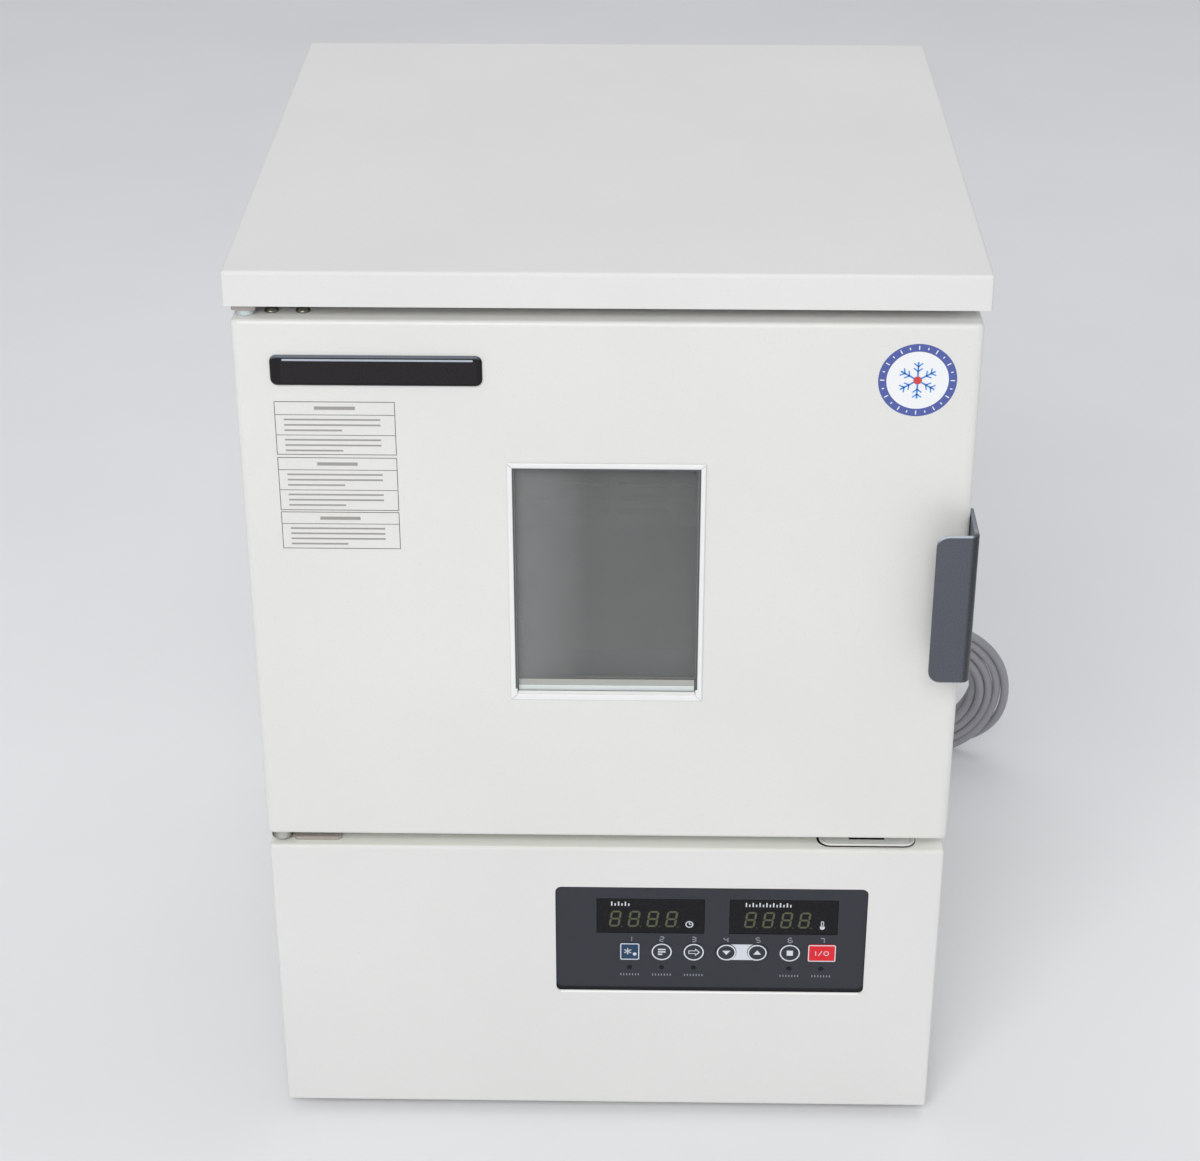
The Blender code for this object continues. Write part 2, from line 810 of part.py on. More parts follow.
def insulation_foam():
    """Foam round the chamber: a block with the chamber's place cut out of its front."""
    low = (-inner_half, case_front + chamber_setback, deck_height + sheet + fit)
    high = (inner_half, case_rear, case_high - sheet - fit)
    node = add_box("insulation_foam", low, high, foam)
    outside = sheet + fit
    low = (-chamber_half - outside, chamber_front - play, chamber_floor_height - outside)
    high = (chamber_half + outside, chamber_rear + outside, chamber_high + outside)
    cutter, middle = box_mesh(low, high)
    combine(node, add_guide("chamber_place", cutter, middle))


def feet():
    """Four rubber feet with a recess for the screw."""
    recess = foot_radius / 2
    profile = [(recess / 2, foot_height / 2), (recess, 0), (foot_radius - foot_taper, 0),
               (foot_radius, foot_height - fit - foot_taper), (foot_radius, foot_height - fit)]
    for x_name, x in (("left", -case_half + foot_inset), ("right", case_half - foot_inset)):
        for y_name, y in (("front", panel_front + foot_inset), ("rear", case_rear - foot_inset)):
            add_node(f"foot_{y_name}_{x_name}", turned_mesh(profile, 16), (x, y, 0), black_rubber)


# Door

def door_shell(door):
    """The painted door skin with its returns and the window cut-out."""
    half_v = door_height / 2
    levels = []
    for angle in (0, 22.5, 45, 67.5, 90):
        turn = math.radians(angle)
        inset = 1 - math.sin(turn)
        levels.append((door_side_round * inset, door_edge_radius * inset,
                       door_front + door_edge_radius * (1 - math.cos(turn))))
    levels += [(0, 0, door_rear), (door_lip, door_lip, door_rear)]
    rings = []
    for side_inset, end_inset, depth in levels:
        ring = rounded_ring(door_half - side_inset, half_v - end_inset, door_edge_radius)
        rings.append([(u, depth, v) for u, v in ring])
    bm = loft_mesh(rings, back_cap=False)
    node = add_node("door_shell", bm, (0, 0, door_centre_height), warm_white_paint, door)
    add_wall(node, sheet, -1.0 if faces_out(node, (0, -1, 0)) else 1.0)
    cut_out = trim_wall + fit
    ring = rounded_ring(window_width / 2 + cut_out, window_height / 2 + cut_out, 0,
                        (0, window_centre_height))
    window = prism_mesh(ring, "Y", door_front - play, door_front + play)
    combine(node, add_guide("door_window_cutout", window))
    hole = circle_ring(bush_radius + fit, (hinge_x, hinge_y))
    bores = bmesh.new()
    extrude_ring(bores, hole, "Z", door_low - play, door_low + play)
    extrude_ring(bores, hole, "Z", door_high - play, door_high + play)
    combine(node, add_guide("door_bush_holes", bores))


def door_liner(door):
    """The formed inner skin: a flat rim, a raised plateau and the window's tunnel."""
    half_u = door_half - liner_margin
    half_v = door_height / 2 - liner_margin
    window_drop = window_centre_height - door_centre_height
    rear = liner_front + liner_sheet

    def ring_at(inset, depth):
        corner = door_edge_radius + (chamber_corner if inset > 0 else 0)
        ring = rounded_ring(half_u - inset, half_v - inset, corner)
        return [(u, depth, v) for u, v in ring]

    def window_at(margin, depth):
        ring = rounded_ring(window_width / 2 + margin, window_height / 2 + margin,
                            bend_radius, (0, window_drop))
        return [(u, depth, v) for u, v in ring]

    inner_pane = door_front + glass_recess + 2 * glass_thickness + spacer_depth + 3 * fit
    rings = [ring_at(0, rear), ring_at(plateau_inset, rear),
             ring_at(plateau_inset + plateau_taper, rear + plateau_rise),
             window_at(liner_sheet + fit, rear + plateau_rise), window_at(0, inner_pane)]
    bm = loft_mesh(rings, front_cap=False, back_cap=False)
    node = add_node("door_liner", bm, (0, 0, door_centre_height), white_plastic, door)
    add_wall(node, liner_sheet, -1.0 if faces_out(node, (0, 1, 0)) else 1.0)


def door_insulation(door):
    """The door's foam, with clear corners for the bushes and a hole for the glazing."""
    half_u = door_half - door_side_round
    half_v = door_height / 2 - door_edge_radius
    notch_u = hinge_side_inset + bush_radius + play
    notch_v = bush_depth + play
    outline = ((half_u, half_v), (-half_u + notch_u, half_v), (-half_u + notch_u, half_v - notch_v),
               (-half_u, half_v - notch_v), (-half_u, -half_v + notch_v),
               (-half_u + notch_u, -half_v + notch_v), (-half_u + notch_u, -half_v), (half_u, -half_v))
    bm = prism_mesh(outline, "Y", door_front + sheet + fit, door_rear - sheet - fit)
    node = add_node("door_insulation", bm, (0, 0, door_centre_height), foam, door)
    margin = glass_overlap + fit
    ring = rounded_ring(window_width / 2 + margin, window_height / 2 + margin, 0,
                        (0, window_centre_height))
    combine(node, add_guide("door_glazing_place", prism_mesh(ring, "Y", door_front, door_rear)))


def glazing(door):
    """The mitred trim, two panes and the spacer between them."""
    half_u = window_width / 2
    half_v = window_height / 2
    place = (0, 0, window_centre_height)
    glass_front = door_front + glass_recess
    face = door_front - fit - trim_lip
    trim = ((0, face + trim_lip / 2), (trim_lip / 2, face), (trim_width - trim_lip / 2, face),
            (trim_width, face + trim_lip / 2), (trim_width, face + trim_lip),
            (trim_wall, face + trim_lip), (trim_wall, glass_front - fit), (0, glass_front - fit))
    add_node("window_frame", frame_mesh(half_u, half_v, 0, trim), place, light_aluminium, door)
    pane_u = half_u + glass_overlap
    pane_v = half_v + glass_overlap
    spacer_front = glass_front + glass_thickness + fit
    inner_front = spacer_front + spacer_depth + fit
    for name, front in (("outer_glass", glass_front), ("inner_glass", inner_front)):
        low = (-pane_u, front, window_centre_height - pane_v)
        high = (pane_u, front + glass_thickness, window_centre_height + pane_v)
        add_box(name, low, high, clear_glass, door)
    spacer = ((glass_overlap - spacer_width, spacer_front), (glass_overlap, spacer_front),
              (glass_overlap, spacer_front + spacer_depth),
              (glass_overlap - spacer_width, spacer_front + spacer_depth))
    add_node("glazing_spacer", frame_mesh(half_u, half_v, 0, spacer), place, light_aluminium, door)


def door_gasket(door):
    """The magnetic seal: a foot, a waist and a bulb, carried round the door."""
    outer = gasket_width / 2
    waist = gasket_width * 0.3
    back = gasket_front + gasket_height
    profile = ((-outer, gasket_front), (outer, gasket_front), (outer, gasket_front + gasket_height * 0.2),
               (waist, gasket_front + gasket_height * 0.42), (outer, gasket_front + gasket_height * 0.65),
               (outer, back), (-outer, back), (-outer, gasket_front + gasket_height * 0.65),
               (-waist, gasket_front + gasket_height * 0.42), (-outer, gasket_front + gasket_height * 0.2))
    half_u = door_half - gasket_inset - outer
    half_v = door_height / 2 - gasket_inset - outer
    bm = frame_mesh(half_u, half_v, gasket_corner, profile)
    add_node("door_gasket", bm, (0, 0, door_centre_height), grey_rubber, door)


def door_handle(door):
    """A bent plate on the door's free side, with a finger space behind its front leaf."""
    inside = door_half + handle_side_gap
    outside = inside + handle_thickness
    front = door_front - handle_reach
    back = door_front + handle_grip_depth
    tip = outside - handle_width
    outline = [(tip, front)]
    bend_centre = (outside - handle_bend, front + handle_bend)
    for step in range(5):
        angle = math.radians(-90 + 90 * step / 4)
        outline.append((bend_centre[0] + handle_bend * math.cos(angle),
                        bend_centre[1] + handle_bend * math.sin(angle)))
    outline += [(outside, back), (inside, back)]
    inner_bend = handle_bend - handle_thickness
    for step in range(5):
        angle = math.radians(-90 * step / 4)
        outline.append((bend_centre[0] + inner_bend * math.cos(angle),
                        bend_centre[1] + inner_bend * math.sin(angle)))
    outline.append((tip, front + handle_thickness))
    bm = prism_mesh(outline, "Z", -handle_height / 2, handle_height / 2)
    corners = []
    for edge in bm.edges:
        first, second = (vert.co for vert in edge.verts)
        across = abs(first.z - second.z) < fit and abs(first.x - second.x) < fit
        if across and abs(first.x - tip) < fit:
            corners.append(edge)
    bmesh.ops.bevel(bm, geom=corners, offset=handle_corner, segments=5, profile=0.5, affect="EDGES")
    add_node("door_handle", bm, (0, 0, handle_centre_height), dark_blue_grey, door)


def hinge_bushes(door):
    """Flanged bushes at the door's top and bottom, bored for the pins."""
    gap_for_lower = gap_below_door - lower_bracket_thickness - 3 * fit
    gap_for_upper = gap_above_door - upper_bracket_thickness - 3 * fit
    bore = pin_radius + pin_clearance
    for name, height, sense, flange, radius, finish in (
            ("top_hinge_bush", door_high, -1, gap_for_upper, upper_flange_radius, white_plastic),
            ("bottom_hinge_bush", door_low, 1, gap_for_lower, lower_flange_radius, galvanised)):
        section = ((bore, -sense * (fit + flange)), (radius, -sense * (fit + flange)),
                   (radius, -sense * fit), (bush_radius, -sense * fit),
                   (bush_radius, sense * bush_depth), (bore, sense * bush_depth))
        bm = turned_ring_mesh(section, 24)
        add_node(name, bm, (hinge_x, hinge_y, height), finish, door)


def lower_bracket_ring():
    """The lower bracket from above: a wide plate, a set-back neck and a round eye for the pin."""
    back = case_front - play
    ring = [(hinge_x - bracket_eye_radius, back)]
    for angle in range(180, 331, 25):
        turn = math.radians(angle)
        ring.append((hinge_x + bracket_eye_radius * math.cos(turn),
                     hinge_y + bracket_eye_radius * math.sin(turn)))
    neck = hinge_y - bracket_neck_setback
    start = hinge_x + bracket_plate_start
    end = hinge_x + bracket_plate_end
    front = hinge_y - lower_bracket_reach
    ring += [(hinge_x + bracket_eye_radius, neck), (start, neck), (start, front + bend_radius),
             (start + bend_radius, front), (end - bend_radius, front), (end, front + bend_radius),
             (end, back)]
    return ring


def hinge_brackets():
    """Steel plates with upright pins: one under the visor, one on the ledge."""
    half_x = upper_bracket_length / 2
    front = hinge_y - upper_bracket_reach
    half_y = (case_front - play - front) / 2
    upper_ring = rounded_ring(half_x, half_y, bend_radius, (-door_half + half_x, front + half_y))
    for name, low, thickness, outline, sense in (
            ("top_hinge_bracket", top_low - fit - upper_bracket_thickness, upper_bracket_thickness,
             upper_ring, -1),
            ("bottom_hinge_bracket", panel_top + fit, lower_bracket_thickness, lower_bracket_ring(), 1)):
        bm = prism_mesh(outline, "Z", low, low + thickness)
        node = add_node(name, bm, (0, 0, 0), galvanised)
        reach = door_low + pin_depth if sense > 0 else door_high - pin_depth
        start = low + thickness / 2
        ring = circle_ring(pin_radius, (hinge_x, hinge_y))
        pin = prism_mesh(ring, "Z", min(start, reach), max(start, reach))
        combine(node, add_guide(name + "_pin", pin), "UNION")


# Control panel

def key_list():
    """Each key's name, place in the row, half width, half height, corner and finish."""
    square = (square_key_width / 2, square_key_height / 2, key_corner)
    round_key = (round_key_radius, round_key_radius, round_key_radius - fit)
    wide = (power_key_width / 2, power_key_height / 2, key_corner)
    return (("key_defrost", 0, square, key_blue), ("key_program", 1, round_key, key_dark),
            ("key_shift", 2, round_key, key_dark), ("key_down", 3, round_key, key_dark),
            ("key_up", 4, round_key, key_dark), ("key_set", 5, round_key, key_dark),
            ("key_power", 6, wide, key_red))


def key_centre(index):
    """The middle of a key in the row, across and up."""
    return (control_centre_x + key_first_shift + index * key_pitch, key_row_height)


def bezel_front():
    """The front face of the control bezel, just behind the panel's sheet."""
    return panel_front + sheet + fit


def display_list():
    """Each display's name, place and width."""
    return (("timer_display", control_centre_x + timer_display_shift, timer_display_width),
            ("temperature_display", control_centre_x + temperature_display_shift,
             temperature_display_width))


def control_bezel():
    """The dark plate behind the cut-out, with its display windows and key holes."""
    front = bezel_front()
    ring = rounded_ring(control_width / 2 + bezel_margin, control_height / 2 + bezel_margin,
                        control_corner + bezel_margin, (control_centre_x, control_centre_height))
    node = add_node("control_bezel", prism_mesh(ring, "Y", front, front + bezel_thickness),
                    (0, 0, 0), dark_blue_grey)
    holes = []
    for _, x, width in display_list():
        holes.append(rounded_ring(width / 2 + fit, display_height / 2 + fit, 0,
                                  (x, display_centre_height)))
    for _, index, (half_u, half_v, corner), _ in key_list():
        steps = 3 if corner > key_corner else 1
        holes.append(rounded_ring(half_u + fit, half_v + fit, corner + fit, key_centre(index), steps))
    cutter = pattern_mesh(holes, "Y", front - play, front + bezel_thickness + play)
    combine(node, add_guide("bezel_holes", cutter))


def displays():
    """Display modules whose dark lenses fill the bezel's windows."""
    front = bezel_front() + fit
    shoulder = bezel_front() + bezel_thickness + fit
    for name, x, width in display_list():
        levels = ((0, front), (0, shoulder), (display_flange, shoulder),
                  (display_flange, shoulder + display_depth))
        bm = stack_mesh(width / 2, display_height / 2, 0, "Y", levels)
        add_node(name, bm, (x, 0, display_centre_height), smoked_lens)


def control_board():
    """The circuit board behind the displays and keys."""
    front = bezel_front() + bezel_thickness + display_depth + 2 * fit
    low = (control_centre_x - control_width / 2, front, control_centre_height - control_height / 2)
    high = (control_centre_x + control_width / 2, front + board_thickness,
            control_centre_height + control_height / 2)
    add_box("control_board", low, high, circuit_green)


def keys():
    """Seven keys, each with a cap, a flange behind the bezel and a stem to its switch."""
    front = bezel_front() - key_proud
    shoulder = bezel_front() + bezel_thickness + fit
    stem_end = bezel_front() + bezel_thickness + display_depth + fit - key_travel
    for name, index, (half_u, half_v, corner), finish in key_list():
        stem_inset = key_stem_radius - min(half_u, half_v)
        levels = ((-fit, front), (0, front + fit), (0, shoulder), (key_flange, shoulder),
                  (key_flange, shoulder + key_flange), (stem_inset, shoulder + key_flange),
                  (stem_inset, stem_end))
        levels = [(offset, depth - front) for offset, depth in levels]
        bm = stack_mesh(half_u, half_v, corner, "Y", levels, 3 if corner > key_corner else 1)
        x, z = key_centre(index)
        add_node(name, bm, (x, front, z), finish)


# Chamber fittings

def air_duct_panel():
    """A stainless cover over the air duct, with a punched fan grille and rows of return slots."""
    low = (-duct_half, chamber_rear - duct_depth - fit, duct_low)
    high = (duct_half, chamber_rear - fit, duct_high)
    node = add_pan("air_duct_panel", low, high, (0, 1, 0), stainless)
    front = low[1]
    slots = []
    pitch = duct_slot_width + duct_slot_height
    columns = int((2 * duct_half - duct_slot_width) / pitch)
    for row in range(duct_slot_rows):
        for column in range(columns):
            x = (column - (columns - 1) / 2) * pitch
            z = duct_low + duct_slot_height * (2.5 + 2 * row)
            slots.append(rounded_ring(duct_slot_width / 2, duct_slot_height / 2,
                                      duct_slot_height / 2 - fit, (x, z), 1))
    for ring in range(grille_rings):
        inner = fan_tip_radius * (0.34 + 0.34 * ring)
        outer = inner + fan_tip_radius * 0.22
        count = grille_slots // 2 if ring == 0 else grille_slots
        for index in range(count):
            start = math.tau * (index + 0.12) / count
            end = math.tau * (index + 0.88) / count
            corners = ((inner, start), (outer, start), (outer, end), (inner, end))
            slots.append([(radius * math.cos(angle), fan_centre_height + radius * math.sin(angle))
                          for radius, angle in corners])
    probe = circle_ring(probe_radius + fit, (probe_x, probe_height), 12)
    slots.append(probe)
    combine(node, add_guide("duct_slots", pattern_mesh(slots, "Y", front - play, front + play)))


def circulation_fan_and_motor(axis):
    """The chamber fan behind its grille, and the motor that carries it on the rear wall."""
    motor_length = duct_depth * 0.34
    motor_front = chamber_rear - fit - motor_length
    fan_place = (0, motor_front - play - fan_hub_length, fan_centre_height)
    add_fan("circulation_fan", fan_place, fan_hub_radius, fan_hub_length, fan_tip_radius,
            fan_blades, black_plastic, axis)
    reach = play + fan_hub_length * 0.6
    profile = [(shaft_radius, -reach), (shaft_radius, 0), (motor_radius * 0.5, 0),
               (motor_radius * 0.5, play / 2), (motor_radius - bend_radius, play / 2),
               (motor_radius, play), (motor_radius, motor_length)]
    bm = turn_to(turned_mesh(profile), "+Y")
    add_node("circulation_fan_motor", bm, (0, motor_front, fan_centre_height), galvanised)


def evaporator():
    """A plate with a serpentine tube on its face, on bosses from the rear wall."""
    plate_rear = chamber_rear - duct_depth * 0.30
    plate_front = plate_rear - evaporator_plate_thickness
    height = (evaporator_passes - 1) * evaporator_pitch
    centre_z = evaporator_low + height / 2
    half_u = evaporator_width / 2
    half_v = height / 2 + evaporator_margin
    plate = prism_mesh(rounded_ring(half_u, half_v, bend_radius, (0, centre_z)), "Y",
                       plate_front, plate_rear)
    node = add_node("evaporator_plate", plate, (0, 0, 0), light_aluminium)
    bosses = []
    for side_u in (-1, 1):
        for side_v in (-1, 1):
            centre = (side_u * (half_u - evaporator_margin),
                      centre_z + side_v * (half_v - evaporator_margin))
            bosses.append(circle_ring(evaporator_boss_radius, centre, 12))
    posts = pattern_mesh(bosses, "Y", plate_rear - evaporator_plate_thickness / 2, chamber_rear - fit)
    combine(node, add_guide("evaporator_bosses", posts), "UNION")
    depth = plate_front - fit - evaporator_tube_radius
    route = serpentine(evaporator_width - evaporator_margin, evaporator_passes, evaporator_pitch,
                       evaporator_low, depth)
    add_tube("evaporator_tube", route, evaporator_tube_radius, light_aluminium)


def heater_element():
    """A hairpin heater under the evaporator whose ends turn back to the rear wall."""
    depth = chamber_rear - duct_depth * 0.55
    half = heater_half
    bend = heater_height / 2
    points = [(half, chamber_rear - fit, heater_low), (half, depth + bend, heater_low)]
    points += [(half - bend * (1 - math.cos(math.radians(angle))),
                depth + bend - bend * math.sin(math.radians(angle)), heater_low) for angle in (30, 60, 90)]
    for step in range(7):
        angle = math.radians(-90 - 180 * step / 6)
        points.append((-half + bend + bend * math.cos(angle), depth,
                       heater_low + bend + bend * math.sin(angle)))
    points += [(half - bend * (1 - math.cos(math.radians(angle))),
                depth + bend - bend * math.sin(math.radians(angle)), heater_low + heater_height)
               for angle in (90, 60, 30)]
    points += [(half, depth + bend, heater_low + heater_height),
               (half, chamber_rear - fit, heater_low + heater_height)]
    add_tube("heater_element", points, heater_tube_radius, stainless)


def temperature_probe():
    """A probe through the duct cover, with a collar in front of it."""
    cover = chamber_rear - duct_depth - fit
    collar = probe_radius * 2
    profile = [(probe_radius * 0.6, -probe_length), (probe_radius, -probe_length + probe_radius),
               (probe_radius, -fit - sheet * 2), (collar, -fit - sheet * 2), (collar, -fit),
               (probe_radius, -fit), (probe_radius, probe_radius * 4)]
    bm = turn_to(turned_mesh(profile, 12), "+Y")
    add_node("temperature_probe", bm, (probe_x, cover, probe_height), stainless)


def shelf_rails():
    """Side rails: a web against each wall with a row of ledges."""
    for name, sense in (("shelf_rail_left", 1), ("shelf_rail_right", -1)):
        wall_x = -sense * (chamber_half - fit)
        web_x = wall_x + sense * rail_web
        tip_x = wall_x + sense * rail_tooth
        outline = [(wall_x, rail_low - rail_ledge)]
        for tooth in range(rail_teeth):
            z = rail_low + tooth * rail_pitch
            outline += [(web_x, z - rail_ledge), (tip_x, z - rail_ledge), (tip_x, z), (web_x, z)]
        outline[1] = (tip_x, rail_low - rail_ledge)
        del outline[2]
        top = rail_low + (rail_teeth - 1) * rail_pitch + rail_pitch / 2
        outline += [(web_x, top), (wall_x, top)]
        add_node(name, prism_mesh(outline, "Y", rail_front, rail_rear), (0, 0, 0), stainless)


def wire_shelf():
    """A welded wire shelf that rests on the top pair of ledges."""
    half_u = chamber_half - rail_web - 2 * play
    half_v = (rail_rear - rail_front) / 2
    across = round(2 * half_u / shelf_cell_width)
    deep = round(2 * half_v / shelf_cell_depth)
    bm = bmesh.new()
    columns = [-half_u + 2 * half_u * step / across for step in range(across + 1)]
    rows = [-half_v + 2 * half_v * step / deep for step in range(deep + 1)]
    grid = [[bm.verts.new((x, y, 0)) for x in columns] for y in rows]
    for row in range(deep):
        for column in range(across):
            bm.faces.new((grid[row][column], grid[row][column + 1],
                          grid[row + 1][column + 1], grid[row + 1][column]))
    node = add_node("wire_shelf", bm, (0, rail_front + half_v, shelf_height), stainless)
    tool = node.modifiers.new("wires", "WIREFRAME")
    tool.thickness = shelf_wire
    tool.use_even_offset = False
    tool.use_relative_offset = False
    tool.use_boundary = True
    tool.use_replace = True


# Cooling compartment

def compressor():
    """A sealed compressor: a domed pot with a weld band, on its own foot plate."""
    floor = foot_height + sheet + fit
    x = compressor_x
    y = compressor_y
    pot = compressor_radius
    high = compressor_height
    profile = [(pot * 0.55, high * 0.10), (pot * 0.80, high * 0.14), (pot, high * 0.26), (pot, high * 0.52),
               (pot * 1.05, high * 0.52), (pot * 1.05, high * 0.55), (pot, high * 0.55),
               (pot, high * 0.80), (pot * 0.90, high * 0.91), (pot * 0.66, high * 0.98), (pot * 0.25, high)]
    node = add_node("compressor", turned_mesh(profile), (x, y, floor), black_plastic)
    half = compressor_foot / 2
    plate = prism_mesh(rounded_ring(half, half * 0.62, chamber_corner), "Z", compressor_foot_thickness,
                       2 * compressor_foot_thickness)
    for side_u in (-1, 1):
        for side_v in (-1, 1):
            centre = (side_u * (half - chamber_corner * 1.5), side_v * (half * 0.62 - chamber_corner * 1.5))
            extrude_ring(plate, circle_ring(chamber_corner * 0.9, centre, 16), "Z", 0,
                         compressor_foot_thickness * 1.5)
    combine(node, add_guide("compressor_foot", plate, (x, y, floor)), "UNION")
    neck = prism_mesh(circle_ring(pot * 0.5), "Z", compressor_foot_thickness * 1.5, high * 0.3)
    combine(node, add_guide("compressor_neck", neck, (x, y, floor)), "UNION")
    node.modifiers["compressor_foot"].use_self = True


def condenser():
    """A serpentine condenser carried in the holes of a folded frame."""
    floor = foot_height + sheet + fit
    depth = condenser_centre_y
    half = condenser_width / 2
    low = (condenser_centre_x - half, depth - condenser_frame_depth / 2, floor)
    high = (condenser_centre_x + half, depth + condenser_frame_depth / 2, floor + condenser_frame_height)
    bm, middle = box_mesh(low, high)
    open_faces = [face_towards(bm, direction) for direction in ((0, -1, 0), (0, 1, 0), (0, 0, 1))]
    bmesh.ops.delete(bm, geom=open_faces, context="FACES_ONLY")
    frame = add_node("condenser_frame", bm, middle, galvanised, closed=False)
    add_wall(frame, sheet)
    reach = condenser_width + 4 * condenser_pitch / 2
    route = serpentine(reach, condenser_rows, condenser_pitch, condenser_low, depth)
    route = [(x + condenser_centre_x, y, z) for x, y, z in route]
    add_tube("condenser_coil", route, condenser_tube_radius, copper)
    holes = []
    for row in range(condenser_rows):
        centre = (depth, condenser_low + row * condenser_pitch)
        holes.append(circle_ring(condenser_tube_radius + fit, centre, 12))
    cutter = pattern_mesh(holes, "X", condenser_centre_x - condenser_width,
                          condenser_centre_x + condenser_width)
    combine(frame, add_guide("condenser_holes", cutter))


def shroud_front():
    """The front face of the condenser's fan shroud."""
    return condenser_centre_y - condenser_frame_depth / 2 - fit - shroud_depth


def condenser_fan_group(axis):
    """The fan shroud on the condenser's front, its motor and its fan."""
    front = shroud_front()
    half = condenser_width / 2
    centre = (condenser_centre_x, cooling_fan_height)
    shroud = prism_mesh(rounded_ring(half, half, chamber_corner, centre), "Y", front, front + shroud_depth)
    node = add_node("condenser_fan_shroud", shroud, (0, 0, 0), black_plastic)
    opening = bmesh.new()
    ring = circle_ring(cooling_fan_radius + play, centre, 32)
    extrude_ring(opening, ring, "Y", front - play, front + shroud_depth - 2 * play)
    combine(node, add_guide("shroud_opening", opening))
    sectors = []
    for index in range(4):
        corners = []
        for radius, turn in ((motor_radius * 1.1, 0.10), (cooling_fan_radius, 0.04),
                             (cooling_fan_radius, 0.96), (motor_radius * 1.1, 0.90)):
            angle = math.tau * (index + turn) / 4
            corners.append((radius, angle))
        outline = [corners[0], corners[1]]
        for step in range(1, 6):
            blend = step / 6
            outline.append((cooling_fan_radius, corners[1][1] * (1 - blend) + corners[2][1] * blend))
        outline += [corners[2], corners[3]]
        for step in range(1, 4):
            blend = step / 4
            outline.append((motor_radius * 1.1, corners[3][1] * (1 - blend) + corners[0][1] * blend))
        sectors.append([(centre[0] + radius * math.cos(angle), centre[1] + radius * math.sin(angle))
                        for radius, angle in outline])
    cutter = pattern_mesh(sectors, "Y", front, front + shroud_depth + play)
    combine(node, add_guide("shroud_sectors", cutter))
    spider_front = front + shroud_depth - 2 * play
    motor_length = shroud_depth * 0.45
    profile = [(shaft_radius, -play * 2 - motor_length), (shaft_radius, -motor_length),
               (motor_radius * 0.9, -motor_length), (motor_radius, -motor_length + bend_radius),
               (motor_radius, -fit)]
    bm = turn_to(turned_mesh(profile), "+Y")
    add_node("condenser_fan_motor", bm, (centre[0], spider_front, centre[1]), galvanised)
    hub_length = fan_hub_length * 0.8
    place = (centre[0], spider_front - motor_length - play - hub_length, centre[1])
    add_fan("condenser_fan", place, fan_hub_radius, hub_length, cooling_fan_radius, fan_blades,
            black_plastic, axis)


# Power cord

def cord_route():
    """The lead's own points, from the gland to the coil, chosen by hand."""
    start = cover_rear + fit + gland_length
    rear = coil_rear()
    low = coil_tube_height()
    return ((gland_x, start + fit, gland_height), (gland_x, start + 0.018, gland_height),
            (gland_x + 0.014, start + 0.036, gland_height - 0.010),
            (gland_x + 0.045, start + 0.044, gland_height - 0.040), (gland_x + 0.085, start + 0.040, 0.018),
            (gland_x + 0.125, start + 0.034, low + 0.001), (gland_x + 0.170, start + 0.028, low),
            (gland_x + 0.210, start + 0.018, low), (coil_centre_x - 0.014, rear + cord_radius + 0.001, low),
            (coil_centre_x, rear + cord_radius + fit, low))


def coil_tube_height():
    """The height of the coil's outer turn over the floor."""
    return cord_radius + fit


def coil_rear():
    """The coil's face away from the cabinet."""
    return top_rear + coil_rear_gap + coil_thickness


def tail_route():
    """The tail's own points, from the coil to the plug on the floor, chosen by hand."""
    rear = coil_rear()
    centre = coil_outer_radius + fit
    low = coil_tube_height()
    return ((coil_centre_x, rear + cord_radius + fit, centre + 0.0400),
            (coil_centre_x - 0.0290, rear + 0.0042, centre + 0.0275),
            (coil_centre_x - 0.0405, rear + 0.0070, centre + 0.0010),
            (coil_centre_x - 0.0440, rear + 0.0165, centre - 0.0270),
            (coil_centre_x - 0.0540, rear + 0.0330, centre - 0.0505),
            (coil_centre_x - 0.0730, rear + 0.0560, low + 0.0020),
            (coil_centre_x - 0.0930, rear + 0.0710, low + 0.0012),
            (plug_end_x() + 0.018, rear + plug_setback, plug_height / 2),
            (plug_end_x() + fit, rear + plug_setback, plug_height / 2))


def plug_end_x():
    """Where the plug's cord end lies."""
    return coil_centre_x - plug_offset


